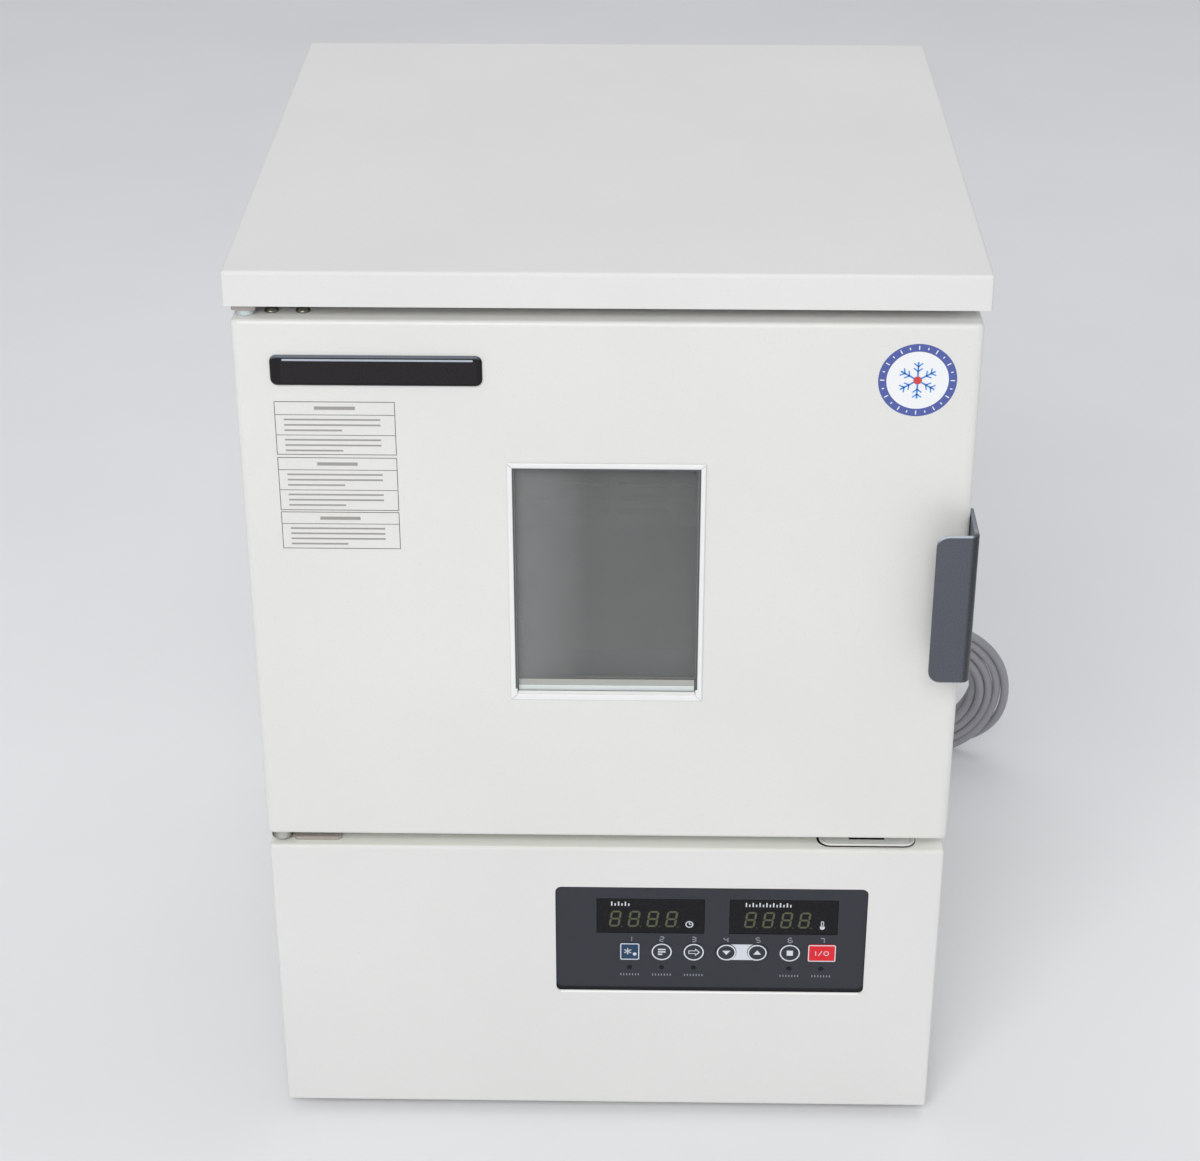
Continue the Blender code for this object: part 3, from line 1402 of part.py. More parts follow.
def power_cord():
    """Gland, lead, coil, tail and plug."""
    place = (gland_x, cover_rear + fit, gland_height)
    profile = [(gland_radius - fit * 11, -sheet - fit), (gland_radius - fit * 11, 0), (gland_radius, 0),
               (gland_radius, gland_length * 0.3), (gland_radius * 0.8, gland_length * 0.35),
               (gland_radius * 0.55, gland_length)]
    add_node("cord_gland", turn_to(turned_mesh(profile), "+Y"), place, black_plastic)
    spacing = cord_radius * 5
    add_tube("cord_lead", smooth_route(cord_route(), spacing), cord_radius, grey_cord)
    edge = cord_radius
    half = coil_thickness / 2
    section = [(coil_inner_radius, -half + edge), (coil_inner_radius + edge, -half),
               (coil_outer_radius - edge, -half), (coil_outer_radius, -half + edge),
               (coil_outer_radius, half - edge), (coil_outer_radius - edge, half),
               (coil_inner_radius + edge, half), (coil_inner_radius, half - edge)]
    coil = turn_to(turned_ring_mesh(section, 36), "+Y")
    add_node("cord_coil", coil, (coil_centre_x, coil_rear() - half, coil_outer_radius + fit), grey_cord)
    add_tube("cord_tail", smooth_route(tail_route(), spacing), cord_radius, grey_cord)
    levels = ((-play, 0), (0, -play), (0, -plug_length * 0.45), (-play, -plug_length * 0.7),
              (-play, -plug_length))
    levels = [(offset, -height - plug_length) for offset, height in levels]
    bm = stack_mesh(plug_width / 2, plug_height / 2, play + fit, "X", levels)
    place = (plug_end_x(), coil_rear() + plug_setback, plug_height / 2)
    node = add_node("power_plug", bm, place, black_plastic)
    blades = []
    for side in (-1, 1):
        centre = (side * plug_blade_spacing / 2, 0)
        blades.append(rounded_ring(plug_blade_thickness / 2, plug_blade_width / 2, 0, centre))
    pins = pattern_mesh(blades, "X", -plug_length - plug_blade_length, -plug_length + play)
    guide = add_guide("plug_blades", pins, place)
    combine(node, guide, "UNION")


def build():
    """Builds the cabinet, then the door and the fans on their own axes."""
    outer_case()
    top_panel()
    lower_front_panel()
    ledge_cap()
    base_pan()
    rear_cover()
    machine_deck()
    breaker_frame()
    inner_chamber()
    insulation_foam()
    feet()
    hinge_brackets()
    control_bezel()
    displays()
    control_board()
    keys()
    air_duct_panel()
    circulation_fan_and_motor(add_axis("circulation_fan_axis", (0, chamber_rear, fan_centre_height)))
    evaporator()
    heater_element()
    temperature_probe()
    shelf_rails()
    wire_shelf()
    compressor()
    condenser()
    fan_axis = add_axis("condenser_fan_axis", (condenser_centre_x, shroud_front(), cooling_fan_height))
    condenser_fan_group(fan_axis)
    power_cord()
    door = add_axis("door_axis", (hinge_x, hinge_y, door_low))
    door_shell(door)
    door_liner(door)
    door_insulation(door)
    glazing(door)
    door_gasket(door)
    door_handle(door)
    hinge_bushes(door)


build()
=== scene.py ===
"""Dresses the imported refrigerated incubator: camera, cord, finishes, printed marks, screws, floor and light.

Metres, +Z up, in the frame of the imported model. The door faces -Y.
"""

import math

import bmesh
import bpy
from mathutils import Matrix, Vector


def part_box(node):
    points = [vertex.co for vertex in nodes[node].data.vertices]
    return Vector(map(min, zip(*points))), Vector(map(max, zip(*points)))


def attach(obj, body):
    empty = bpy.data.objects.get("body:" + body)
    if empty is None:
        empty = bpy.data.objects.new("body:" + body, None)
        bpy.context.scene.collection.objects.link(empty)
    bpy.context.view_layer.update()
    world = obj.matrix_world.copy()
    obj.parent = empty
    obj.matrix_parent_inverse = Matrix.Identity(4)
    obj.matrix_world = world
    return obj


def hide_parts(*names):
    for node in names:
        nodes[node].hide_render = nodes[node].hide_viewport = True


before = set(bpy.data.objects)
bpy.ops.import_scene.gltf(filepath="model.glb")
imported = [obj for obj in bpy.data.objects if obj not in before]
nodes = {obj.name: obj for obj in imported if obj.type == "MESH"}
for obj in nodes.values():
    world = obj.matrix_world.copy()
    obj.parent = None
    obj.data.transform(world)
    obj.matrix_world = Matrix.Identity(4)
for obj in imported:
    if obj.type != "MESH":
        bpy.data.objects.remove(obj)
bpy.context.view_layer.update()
scene = bpy.context.scene

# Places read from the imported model
door_low, door_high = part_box("door_shell")
front = door_low.y
cover_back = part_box("rear_cover")[1].y
gland_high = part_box("cord_gland")[1]
coil_low, coil_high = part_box("cord_coil")
bezel_low, bezel_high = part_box("control_bezel")
mm = 0.001
print_rise = 0.08 * mm
round_steps = 28


def shown(red, green, blue):
    """A colour given as it shows on a screen, from 0 to 255."""
    parts = []
    for value in (red, green, blue):
        share = value / 255
        parts.append(share / 12.92 if share <= 0.04045 else ((share + 0.055) / 1.055) ** 2.4)
    return (*parts, 1.0)


# Camera

camera = bpy.data.objects.new("camera", bpy.data.cameras.new("camera"))
scene.collection.objects.link(camera)
camera.data.sensor_width = 36.0
camera.data.lens = 77.36
camera.location = (0.0230, -1.6396, 1.2011)
yaw, pitch, roll = -0.019023, 0.498058, -0.001119
ahead = Vector((math.sin(yaw) * math.cos(pitch), math.cos(yaw) * math.cos(pitch), -math.sin(pitch)))
camera.rotation_mode = "QUATERNION"
camera.rotation_quaternion = ahead.to_track_quat("-Z", "Y") @ Matrix.Rotation(roll, 4, "Z").to_quaternion()
camera.data.clip_start = 0.05
camera.data.clip_end = 60.0
scene.camera = camera


# Mesh helpers

def new_piece(name, bm, skin, body, angle=35):
    """Makes a piece from a bmesh, gives it a finish and lets it ride on a body."""
    bmesh.ops.recalc_face_normals(bm, faces=bm.faces)
    mesh = bpy.data.meshes.new(name)
    bm.to_mesh(mesh)
    bm.free()
    mesh.shade_smooth()
    mesh.set_sharp_from_angle(angle=math.radians(angle))
    piece = bpy.data.objects.new(name, mesh)
    scene.collection.objects.link(piece)
    mesh.materials.append(skins[skin])
    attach(piece, body)
    return piece


def ring_points(half_u, half_v, radius, steps=6):
    """A rounded rectangle, counter-clockwise."""
    points = []
    for side_u, side_v, start in ((1, 1, 0), (-1, 1, 90), (-1, -1, 180), (1, -1, 270)):
        for step in range(steps + 1):
            angle = math.radians(start + 90 * step / steps)
            points.append((side_u * (half_u - radius) + radius * math.cos(angle),
                           side_v * (half_v - radius) + radius * math.sin(angle)))
    return points


def circle_points(radius, steps):
    """A circle, counter-clockwise."""
    angles = [math.tau * step / steps for step in range(steps)]
    return [(radius * math.cos(angle), radius * math.sin(angle)) for angle in angles]


def loft(bm, rings, looped=False):
    """Skins rings of points that match in number."""
    loops = [[bm.verts.new(point) for point in ring] for ring in rings]
    pairs = list(zip(loops, loops[1:]))
    if looped:
        pairs.append((loops[-1], loops[0]))
    for first, second in pairs:
        for index in range(len(first)):
            after = (index + 1) % len(first)
            bm.faces.new((first[index], first[after], second[after], second[index]))
    if not looped:
        bm.faces.new(loops[0])
        bm.faces.new(loops[-1])
    return bm


def facing(points, centre, depth):
    """Points of an upright plane that looks to the front: across, up."""
    return [(centre[0] + u, depth, centre[1] + v) for u, v in points]


def front_plate(name, points, centre, back, thickness, skin, bevel=0.0):
    """An upright plate on the door, with a flat outline whose front edge may be rounded."""
    bm = bmesh.new()
    size = max(abs(u) for u, _ in points)
    rings = [facing(points, centre, back)]
    if bevel > 0:
        high = max(abs(v) for _, v in points)
        for turn in (0, 30, 60, 90):
            angle = math.radians(turn)
            share = bevel * (1 - math.cos(angle))
            inner = [(u * (1 - share / size), v * (1 - share / high)) for u, v in points]
            rings.append(facing(inner, centre, back - thickness + bevel * (1 - math.sin(angle))))
    else:
        rings.append(facing(points, centre, back - thickness))
    loft(bm, rings)
    return new_piece(name, bm, skin, "door")


def print_mesh(bm, points, centre, back, rise=print_rise):
    """Adds one printed shape, a hair thick, to a bmesh."""
    loft(bm, [facing(points, centre, back), facing(points, centre, back - rise)])


def print_ring(bm, outer, inner, centre, back, rise=print_rise):
    """Adds a printed outline between two matching outlines."""
    loft(bm, [facing(outer, centre, back), facing(outer, centre, back - rise),
              facing(inner, centre, back - rise), facing(inner, centre, back)], looped=True)


def lathe(bm, profile, centre, axis, steps):
    """Turns (radius, height) points about an axis through a centre."""
    rings = []
    turn = Vector((0, 0, 1)).rotation_difference(Vector(axis)).to_matrix()
    for radius, height in profile:
        circle = circle_points(radius, steps)
        rings.append([Vector(centre) + turn @ Vector((u, v, height)) for u, v in circle])
    return loft(bm, rings)


def bar(half_u, half_v, turn=0.0, centre=(0.0, 0.0)):
    """A flat bar, turned in its plane."""
    points = []
    for u, v in ((half_u, half_v), (-half_u, half_v), (-half_u, -half_v), (half_u, -half_v)):
        points.append((centre[0] + u * math.cos(turn) - v * math.sin(turn),
                       centre[1] + u * math.sin(turn) + v * math.cos(turn)))
    return points


# Finishes

def tree_of(name, colour, rough, metal=0.0):
    """A new material with its shader and the object's own coordinates."""
    made = bpy.data.materials.new(name)
    made.use_nodes = True
    made.diffuse_color = colour
    tree = made.node_tree
    shader = tree.nodes["Principled BSDF"]
    shader.inputs["Base Color"].default_value = colour
    shader.inputs["Roughness"].default_value = rough
    shader.inputs["Metallic"].default_value = metal
    return made, tree, shader, tree.nodes.new("ShaderNodeTexCoord").outputs["Object"]


def node_of(tree, kind, source=None, **values):
    """A new node with some inputs set, and perhaps its first input linked."""
    made = tree.nodes.new("ShaderNode" + kind)
    for name, value in values.items():
        made.inputs[name.replace("_", " ")].default_value = value
    if source is not None:
        tree.links.new(source, made.inputs[0])
    return made


def noise(tree, place, scale, detail=3.0, stretch=(1, 1, 1), rough=0.5):
    """Noise over the surface, stretched along the axes if asked."""
    mapping = node_of(tree, "Mapping", place, Scale=stretch)
    return node_of(tree, "TexNoise", mapping.outputs["Vector"], Scale=scale, Detail=detail,
                   Roughness=rough).outputs["Fac"]


def spread(tree, value, low=0.0, high=1.0, start=0.3, end=0.7):
    """Maps a value's middle range to two numbers."""
    return node_of(tree, "MapRange", value, From_Min=start, From_Max=end, To_Min=low,
                   To_Max=high).outputs["Result"]


def blend_colours(tree, share, first, second):
    """Mixes two colours, each a value or a link."""
    made = tree.nodes.new("ShaderNodeMix")
    made.data_type = "RGBA"
    tree.links.new(share, made.inputs["Factor"])
    for socket, colour in ((made.inputs[6], first), (made.inputs[7], second)):
        if isinstance(colour, tuple):
            socket.default_value = colour
        else:
            tree.links.new(colour, socket)
    return made.outputs[2]


def scaled(colour, share):
    """A colour made darker or lighter by a share."""
    return (*(min(part * share, 1.0) for part in colour[:3]), 1.0)


def drifting(tree, value, colour, low, high):
    """A colour that a value's middle range makes darker or lighter."""
    return blend_colours(tree, spread(tree, value), scaled(colour, low), scaled(colour, high))


def axes(tree, kind):
    """The X, Y and Z of one kind of coordinate."""
    return node_of(tree, "SeparateXYZ", node_of(tree, "TexCoord").outputs[kind]).outputs


def product(tree, first, second):
    """One value times another."""
    made = node_of(tree, "Math", first)
    made.operation = "MULTIPLY"
    tree.links.new(second, made.inputs[1])
    return made.outputs["Value"]


def dress(tree, shader, tone, height, strength, distance, rough=None):
    """Links a tone, a bump and perhaps a roughness into the shader."""
    tree.links.new(tone, shader.inputs["Base Color"])
    if rough is not None:
        tree.links.new(rough, shader.inputs["Roughness"])
    bump = node_of(tree, "Bump", Strength=strength, Distance=distance)
    tree.links.new(height, bump.inputs["Height"])
    tree.links.new(bump.outputs["Normal"], shader.inputs["Normal"])


def paint(name, colour, rough=0.38, grain=700, peel=0.00004, drift=0.03, speck=0.02, level=None):
    """Powder coat or lacquer: orange peel, drift of tone, specks, and, if asked, another tone on surfaces that
    face up, which is painted light.
    """
    made, tree, shader, place = tree_of(name, colour, rough)
    tone = drifting(tree, noise(tree, place, 5.0, 4.0), colour, 1 - drift, 1 + drift / 2)
    dots = noise(tree, place, grain * 1.7, 1.0)
    tone = blend_colours(tree, spread(tree, dots, 0.0, 1.0, 0.66, 0.74), tone, scaled(colour, 1 - speck * 4))
    if level:
        # Painted light: surfaces that face up take the level tone
        up = spread(tree, axes(tree, "Normal")["Z"], 0.0, 1.0, 0.7, 0.95)
        tone = blend_colours(tree, up, tone, level)
    wear = noise(tree, place, 38.0, 5.0)
    dress(tree, shader, tone, noise(tree, place, grain, 2.0), 0.35, peel,
          spread(tree, wear, rough - 0.05, rough + 0.07))
    return made


def plastic(name, colour, rough=0.45, grain=1600, depth=0.00003, drift=0.04, coat=0.0, gloss=0.5):
    """Moulded plastic: fine spark grain and a slight drift of tone."""
    made, tree, shader, place = tree_of(name, colour, rough)
    tone = drifting(tree, noise(tree, place, 14.0, 3.0), colour, 1 - drift, 1 + drift)
    fine = noise(tree, place, grain, 2.0)
    shader.inputs["Coat Weight"].default_value = coat
    shader.inputs["Specular IOR Level"].default_value = gloss
    dress(tree, shader, tone, fine, 0.4, depth, spread(tree, fine, rough - 0.05, rough + 0.05))
    return made


def brushed(name, colour, rough=0.32, along=(1, 40, 40), metal=1.0, drift=0.10, scale=30.0, depth=0.00003):
    """Brushed or rolled metal: long fine lines and soft clouds."""
    made, tree, shader, place = tree_of(name, colour, rough, metal)
    lines = noise(tree, place, scale, 4.0, along, 0.7)
    cloud = spread(tree, noise(tree, place, 9.0, 3.0), 0.0, 0.35)
    tone = drifting(tree, lines, colour, 1 - drift, 1 + drift)
    tone = blend_colours(tree, cloud, tone, scaled(colour, 1 - drift * 1.5))
    dress(tree, shader, tone, lines, 0.25, depth, spread(tree, lines, rough - 0.06, rough + 0.10))
    return made


def spangled(name, colour, rough=0.42):
    """Galvanised sheet: crystal patches of slightly different tone."""
    made, tree, shader, place = tree_of(name, colour, rough, 0.9)
    cells = node_of(tree, "TexVoronoi", place, Scale=110.0)
    patch = node_of(tree, "RGBToBW", cells.outputs["Color"]).outputs["Val"]
    tone = blend_colours(tree, patch, scaled(colour, 0.82), scaled(colour, 1.12))
    dress(tree, shader, tone, noise(tree, place, 300.0), 0.2, 0.00004,
          spread(tree, patch, rough - 0.10, rough + 0.12, 0.0, 1.0))
    return made


def rubber(name, colour, rough=0.75, dusty=0.45):
    """Rubber: matt, with a fine grain and a bloom of dust."""
    made, tree, shader, place = tree_of(name, colour, rough)
    dust = noise(tree, place, 45.0, 5.0)
    tone = drifting(tree, dust, colour, 1, 1 + dusty)
    dress(tree, shader, tone, noise(tree, place, 900.0, 2.0), 0.3, 0.00005,
          spread(tree, dust, rough - 0.08, rough + 0.1))
    return made


def see_through(name, colour, alpha, rough=0.04):
    """Thin glass: clear, with smears and a faint grey veil that is stronger at one side and the foot, a
    painted reflection.
    """
    made, tree, shader, place = tree_of(name, colour, rough)
    shader.inputs["IOR"].default_value = 1.5
    smear = noise(tree, place, 26.0, 5.0, (1, 1, 0.25))
    tree.links.new(spread(tree, smear, rough, rough + 0.06), shader.inputs["Roughness"])
    tree.links.new(drifting(tree, smear, colour, 0.97, 1.03), shader.inputs["Base Color"])
    within = axes(tree, "Generated")
    reflection_veil = product(tree, spread(tree, within["X"], alpha * 2.6, alpha, 0.06, 0.40),
                   spread(tree, within["Z"], 1.05, 0.84, 0.1, 0.9))
    cloud = spread(tree, noise(tree, place, 60.0, 4.0), 0.94, 1.06)
    tree.links.new(product(tree, reflection_veil, cloud), shader.inputs["Alpha"])
    return made


def painted_light_edges(name, colour, highlight_colour, shade_colour, rough, grain=1100, gloss=0.5, bend=2.0, reach=2.0):
    """A dark moulding or coated plate with painted light: a painted highlight on edges that face up, and
    painted shade on bends at its side.
    """
    made, tree, shader, place = tree_of(name, colour, rough)
    tone = drifting(tree, noise(tree, place, 9.0, 4.0), colour, 0.96, 1.04)
    normal, within = axes(tree, "Normal"), axes(tree, "Generated")
    # Painted highlight on upward faces near the front, painted shade at the side bend and on faces looking to
    # the side
    lit = product(tree, spread(tree, normal["Z"], 0.0, 1.0, 0.25, 0.70),
                  spread(tree, within["Y"], 1.0, 0.3, reach, reach + 0.2))
    tone = blend_colours(tree, lit, tone, highlight_colour)
    bend_shade = product(tree, spread(tree, within["X"], 0.0, 1.0, bend, bend + 0.08),
                      spread(tree, within["Y"], 0.9, 0.0, 0.10, 0.25))
    tone = blend_colours(tree, bend_shade, tone, shade_colour)
    tone = blend_colours(tree, spread(tree, normal["X"], 0.0, 1.0, 0.20, 0.75), tone, shade_colour)
    fine = noise(tree, place, grain, 2.0)
    shader.inputs["Specular IOR Level"].default_value = gloss
    dress(tree, shader, tone, fine, 0.35, 0.00003, spread(tree, fine, rough - 0.04, rough + 0.05))
    return made


def painted_reflection_steel(name, bright, dark, rough):
    """Polished turned steel with a painted reflection: bright where it faces the viewer, dark round its sides,
    with turning lines.
    """
    made, tree, shader, place = tree_of(name, bright, rough, 0.6)
    slope = node_of(tree, "LayerWeight", Blend=0.5)
    tone = blend_colours(tree, spread(tree, slope.outputs["Facing"], 0.0, 1.0, 0.10, 0.60), bright, dark)
    lines = noise(tree, place, 30.0, 4.0, (4, 4, 60), 0.7)
    dress(tree, shader, tone, lines, 0.2, 0.00002, spread(tree, lines, rough - 0.05, rough + 0.08))
    return made


def foam_skin(name, colour):
    """Cut foam: open cells and a yellowed drift."""
    made, tree, shader, place = tree_of(name, colour, 0.95)
    tone = drifting(tree, noise(tree, place, 18.0, 4.0), colour, 0.9, 1.04)
    cells = node_of(tree, "TexVoronoi", place, Scale=700.0)
    dress(tree, shader, tone, cells.outputs["Distance"], 0.6, 0.0004)
    return made


def board_skin(name, colour):
    """A circuit board: lacquer over copper runs."""
    made, tree, shader, place = tree_of(name, colour, 0.35)
    bricks = node_of(tree, "TexVoronoi", place, Scale=260.0)
    bricks.distance = "MANHATTAN"
    runs = bricks.outputs["Distance"]
    tone = blend_colours(tree, spread(tree, runs, 0.0, 1.0, 0.35, 0.5), colour, scaled(colour, 1.9))
    dress(tree, shader, tone, runs, 0.3, 0.0001)
    return made


# Each row: name, colour as shown, and what differs from the function's own values
finish_rows = (
    (paint, (
        ("warm_white_paint", (228, 228, 225), 0.35), ("lid_paint", (227, 227, 226), 0.36, 620, 0.00005),
        # Whiter paints: one for painted highlights on edges and lips, one for the sill as painted light
        ("edge_white", (246, 246, 244), 0.3), ("sill_white", (254, 254, 252), 0.4),
        ("black_enamel", (30, 31, 33), 0.3, 500, 0.00008, 0.1, 0.1))),
    (plastic, (
        # The ledge cap's plastic is whiter than its own white: painted light for the shade beneath the door
        ("white_plastic", (226, 228, 226), 0.42), ("cap_white", (249, 250, 246), 0.42),
        ("liner_plastic", (222, 223, 219), 0.38, 1200), ("nylon", (206, 218, 222), 0.35, 1800),
        ("overlay_film", (36, 40, 49), 0.42, 2600, 0.00002, 0.03),
        ("display_lens", (20, 20, 23), 0.28, 2400, 0.00001, 0.05, 0.0, 0.2),
        ("unlit_digit", (80, 86, 60), 0.4, 2600, 0.00001, 0.05),
        ("key_blue_film", (6, 55, 90), 0.40, 2600, 0.00002),
        ("key_red_film", (224, 14, 36), 0.40, 2600, 0.00002),
        ("light_print", (216, 220, 228), 0.5, 3000, 0.00001, 0.02),
        ("grey_print", (150, 154, 164), 0.5, 3000, 0.00001, 0.03),
        ("line_print", (98, 95, 92), 0.55, 3000, 0.00001, 0.05),
        ("faint_print", (158, 156, 152), 0.55, 3000, 0.00001, 0.05),
        ("sticker_white", (240, 242, 244), 0.32, 1500, 0.00001, 0.01, 0.3),
        ("sticker_blue", (72, 88, 162), 0.32, 1500, 0.00001, 0.03, 0.3),
        ("sticker_sky", (70, 140, 222), 0.32, 1500, 0.00001, 0.03, 0.3),
        ("sticker_red", (206, 60, 62), 0.32, 1500, 0.00001, 0.03, 0.3),
        ("plate_face", (30, 26, 28), 0.30, 1500, 0.000004, 0.05, 0.0, 0.25),
        # A painted highlight for the top of the name plate
        ("plate_glint", (176, 184, 196), 0.4, 1500, 0.000004, 0.04, 0.0, 0.3),
        ("gasket_dark", (90, 93, 95), 0.6, 1500, 0.00001, 0.05, 0.0, 0.25),
        # Dark tones for painted shadow lines and painted shade in gaps and slots
        ("border_black", (24, 24, 28), 0.6, 1500, 0.00001, 0.05, 0.0, 0.25),
        ("border_grey", (24, 27, 33), 0.5, 1500, 0.00001, 0.05, 0.0, 0.25),
        ("led_lens", (22, 24, 31), 0.3, 1500, 0.00001, 0.05, 0.0, 0.2),
        ("lining_grey", (112, 118, 120), 0.5), ("bead_white", (217, 225, 225), 0.4),
        ("seal_grey", (172, 173, 168), 0.5), ("black_plastic", (38, 38, 40), 0.5),
        ("cord_vinyl", (155, 155, 161), 0.42, 900, 0.00004, 0.05))),
    (brushed, (
        ("trim_aluminium", (240, 241, 241), 0.36, (6, 60, 6), 0.15, 0.02),
        ("spacer_aluminium", (232, 236, 238), 0.40, (6, 60, 6), 0.1, 0.03),
        ("chamber_steel", (160, 162, 161), 0.50, (2, 6, 2), 0.6, 0.04, 20.0, 0.000005),
        ("duct_steel", (166, 168, 167), 0.50, (2, 6, 8), 0.6, 0.04, 20.0, 0.000005),
        ("rod_steel", (190, 192, 193), 0.28, (20, 20, 20), 1.0, 0.06),
        ("fin_aluminium", (196, 199, 201), 0.38, (40, 4, 4), 0.9, 0.08),
        ("copper_tube", (196, 128, 96), 0.34, (20, 20, 20), 1.0, 0.15),
        ("plug_brass", (214, 190, 126), 0.28, (40, 4, 4), 1.0, 0.06),
        # The brackets' pinkish grey is their own, made lighter as painted light for the shade they sit in
        ("bracket_steel", (176, 168, 162), 0.5, (20, 6, 6), 0.15, 0.05),
        ("screw_dark", (146, 142, 132), 0.22, (30, 30, 30), 1.0, 0.12),
        ("screw_bright", (206, 206, 202), 0.28, (30, 30, 30), 1.0, 0.08))),
    (spangled, (("zinc_sheet", (186, 188, 190)),)),
    (rubber, (("foot_rubber", (40, 40, 41)), ("seal_rubber", (150, 152, 154), 0.62, 0.08))),
    (see_through, (("clear_glass", (150, 153, 152), 0.21),)),
    (foam_skin, (("pale_foam", (224, 214, 184)),)),
    (board_skin, (("green_board", (30, 92, 52)),)),
)
skins = {}
for make, rows in finish_rows:
    for name, colour, *rest in rows:
        skins[name] = make(name, shown(*colour), *rest)
# The lower panel's paint is lighter where it faces up: painted light on the ledge beneath the door
skins["panel_paint"] = paint("panel_paint", shown(227, 227, 225), 0.35, level=shown(243, 245, 238))
# Handle and plate rim carry painted light: highlights on their upper edges, shade on their sides
skins["handle_coat"] = painted_light_edges("handle_coat", shown(76, 80, 89), shown(184, 192, 204), shown(38, 41, 47),
                                 0.29, bend=0.79, reach=0.12)
skins["plate_rim"] = painted_light_edges("plate_rim", shown(26, 24, 28), shown(104, 110, 120), shown(20, 19, 20),
                               0.25, 1500, 0.2)
# The bush's tone is a painted reflection, bright in the middle and dark at its sides
skins["bush_painted_reflection"] = painted_reflection_steel("bush_painted_reflection", shown(200, 200, 194), shown(60, 58, 52), 0.22)

packed_skins = {
    "warm_white_paint": "outer_case rear_cover door_shell", "lid_paint": "top_panel",
    "panel_paint": "lower_front_panel", "cap_white": "ledge_cap", "white_plastic": "breaker_frame",
    "liner_plastic": "door_liner", "nylon": "top_hinge_bush", "bush_painted_reflection": "bottom_hinge_bush",
    "handle_coat": "door_handle", "key_blue_film": "key_defrost", "key_red_film": "key_power",
    "overlay_film": "control_bezel key_program key_shift key_down key_up key_set",
    "display_lens": "timer_display temperature_display", "green_board": "control_board",
    "zinc_sheet": "base_pan machine_deck condenser_frame circulation_fan_motor condenser_fan_motor",
    "bracket_steel": "top_hinge_bracket bottom_hinge_bracket", "duct_steel": "air_duct_panel",
    "chamber_steel": "inner_chamber shelf_rail_left shelf_rail_right",
    "rod_steel": "wire_shelf temperature_probe heater_element", "trim_aluminium": "window_frame",
    "spacer_aluminium": "glazing_spacer", "fin_aluminium": "evaporator_plate evaporator_tube",
    "clear_glass": "outer_glass inner_glass", "pale_foam": "insulation_foam door_insulation",
    "seal_rubber": "door_gasket",
    "foot_rubber": "foot_front_left foot_front_right foot_rear_left foot_rear_right",
    "black_plastic": "circulation_fan condenser_fan condenser_fan_shroud cord_gland power_plug",
    "black_enamel": "compressor", "copper_tube": "condenser_coil",
    "cord_vinyl": "cord_lead cord_coil cord_tail",
}
for skin, names in packed_skins.items():
    for name in names.split():
        for place in nodes[name].material_slots:
            place.material = skins[skin]


# Cord

cord_radius = 0.0035
fit = 0.0003
coil_x = (coil_low.x + coil_high.x) / 2
coil_z = (coil_low.z + coil_high.z) / 2
coil_rear = coil_high.y
plug_end, plug_y, plug_z = coil_x - 0.130, coil_rear + 0.078, 0.010
curve_steps = 8


def smooth_line(points):
    """A smooth curve through points, read evenly between them."""
    path = [Vector(point) for point in points]
    padded = [2 * path[0] - path[1], *path, 2 * path[-1] - path[-2]]
    fine = []
    for before, start, end, after in zip(padded, padded[1:], padded[2:], padded[3:]):
        bow = 2 * before - 5 * start + 4 * end - after
        twist = 3 * start - before - 3 * end + after
        for step in range(curve_steps):
            t = step / curve_steps
            fine.append(0.5 * (2 * start + (end - before) * t + bow * t ** 2 + twist * t ** 3))
    fine.append(path[-1])
    return fine


gland_x = 0.020
gland_height = 0.090
start_y = gland_high.y
low_z = cord_radius + fit


def offsets(origin, *rows):
    """Points given in millimetres from an origin."""
    return [tuple(start + step * mm for start, step in zip(origin, row)) for row in rows]


lead_points = [
    *offsets((gland_x, start_y, gland_height), (0, -4, 0), (0.6, 16, -0.6), (10.3, 37.5, -8.3),
             (38.5, 52, -34.5)),
    *offsets((gland_x, start_y, low_z), (83, 43.5, 15.7), (125, 35, 1.5), (170, 28, 0), (210, 18, 0)),
    (coil_x - 0.014, coil_rear + cord_radius - 0.002, low_z),
]
# The coil's radius in millimetres after so many turns
turn_sizes = ((0.0, 64.5), (0.32, 64.5), (0.50, 63.0), (0.75, 60.5), (1.0, 57.8), (1.15, 56.4), (1.21, 56.4),
              (1.28, 57.8), (1.38, 57.4), (1.50, 56.3), (1.75, 53.7), (2.0, 51.0), (2.25, 50.5), (2.38, 50.4),
              (2.50, 49.3), (2.75, 46.7), (3.0, 44.1), (3.25, 43.5), (3.38, 43.4), (3.50, 42.3), (3.75, 39.8),
              (4.0, 37.4))
turns, last_radius = turn_sizes[-1]
steps_per_turn = 60
far_layer = coil_rear + 0.0005
near_layer = coil_low.y + cord_radius
sway = 0.0007
crossing, last_crossing = 0.22, 0.35
last_step, last_widening = 0.0085, 3.6


def eased(share):
    """A soft start and stop between 0 and 1."""
    share = min(max(share, 0.0), 1.0)
    return share * share * (3 - 2 * share)


def coil_point(angle, radius, depth):
    """A point of the coil, whose turns stand upright."""
    return coil_x + radius * math.cos(angle), depth, coil_z + radius * math.sin(angle)


turn_points = []
for step in range(int(turns) * steps_per_turn + 1):
    done = step / steps_per_turn
    angle = -math.pi / 2 + math.tau * done
    for (start, wide), (end, narrow) in zip(turn_sizes, turn_sizes[1:]):
        if start <= done <= end:
            radius = wide + (narrow - wide) * (done - start) / (end - start)
    depth = far_layer + (near_layer - far_layer) * eased(done / crossing)
    depth += sway * math.sin(3 * angle + done) * eased(done - 0.3)
    turn_points.append(coil_point(angle, radius * mm, depth))
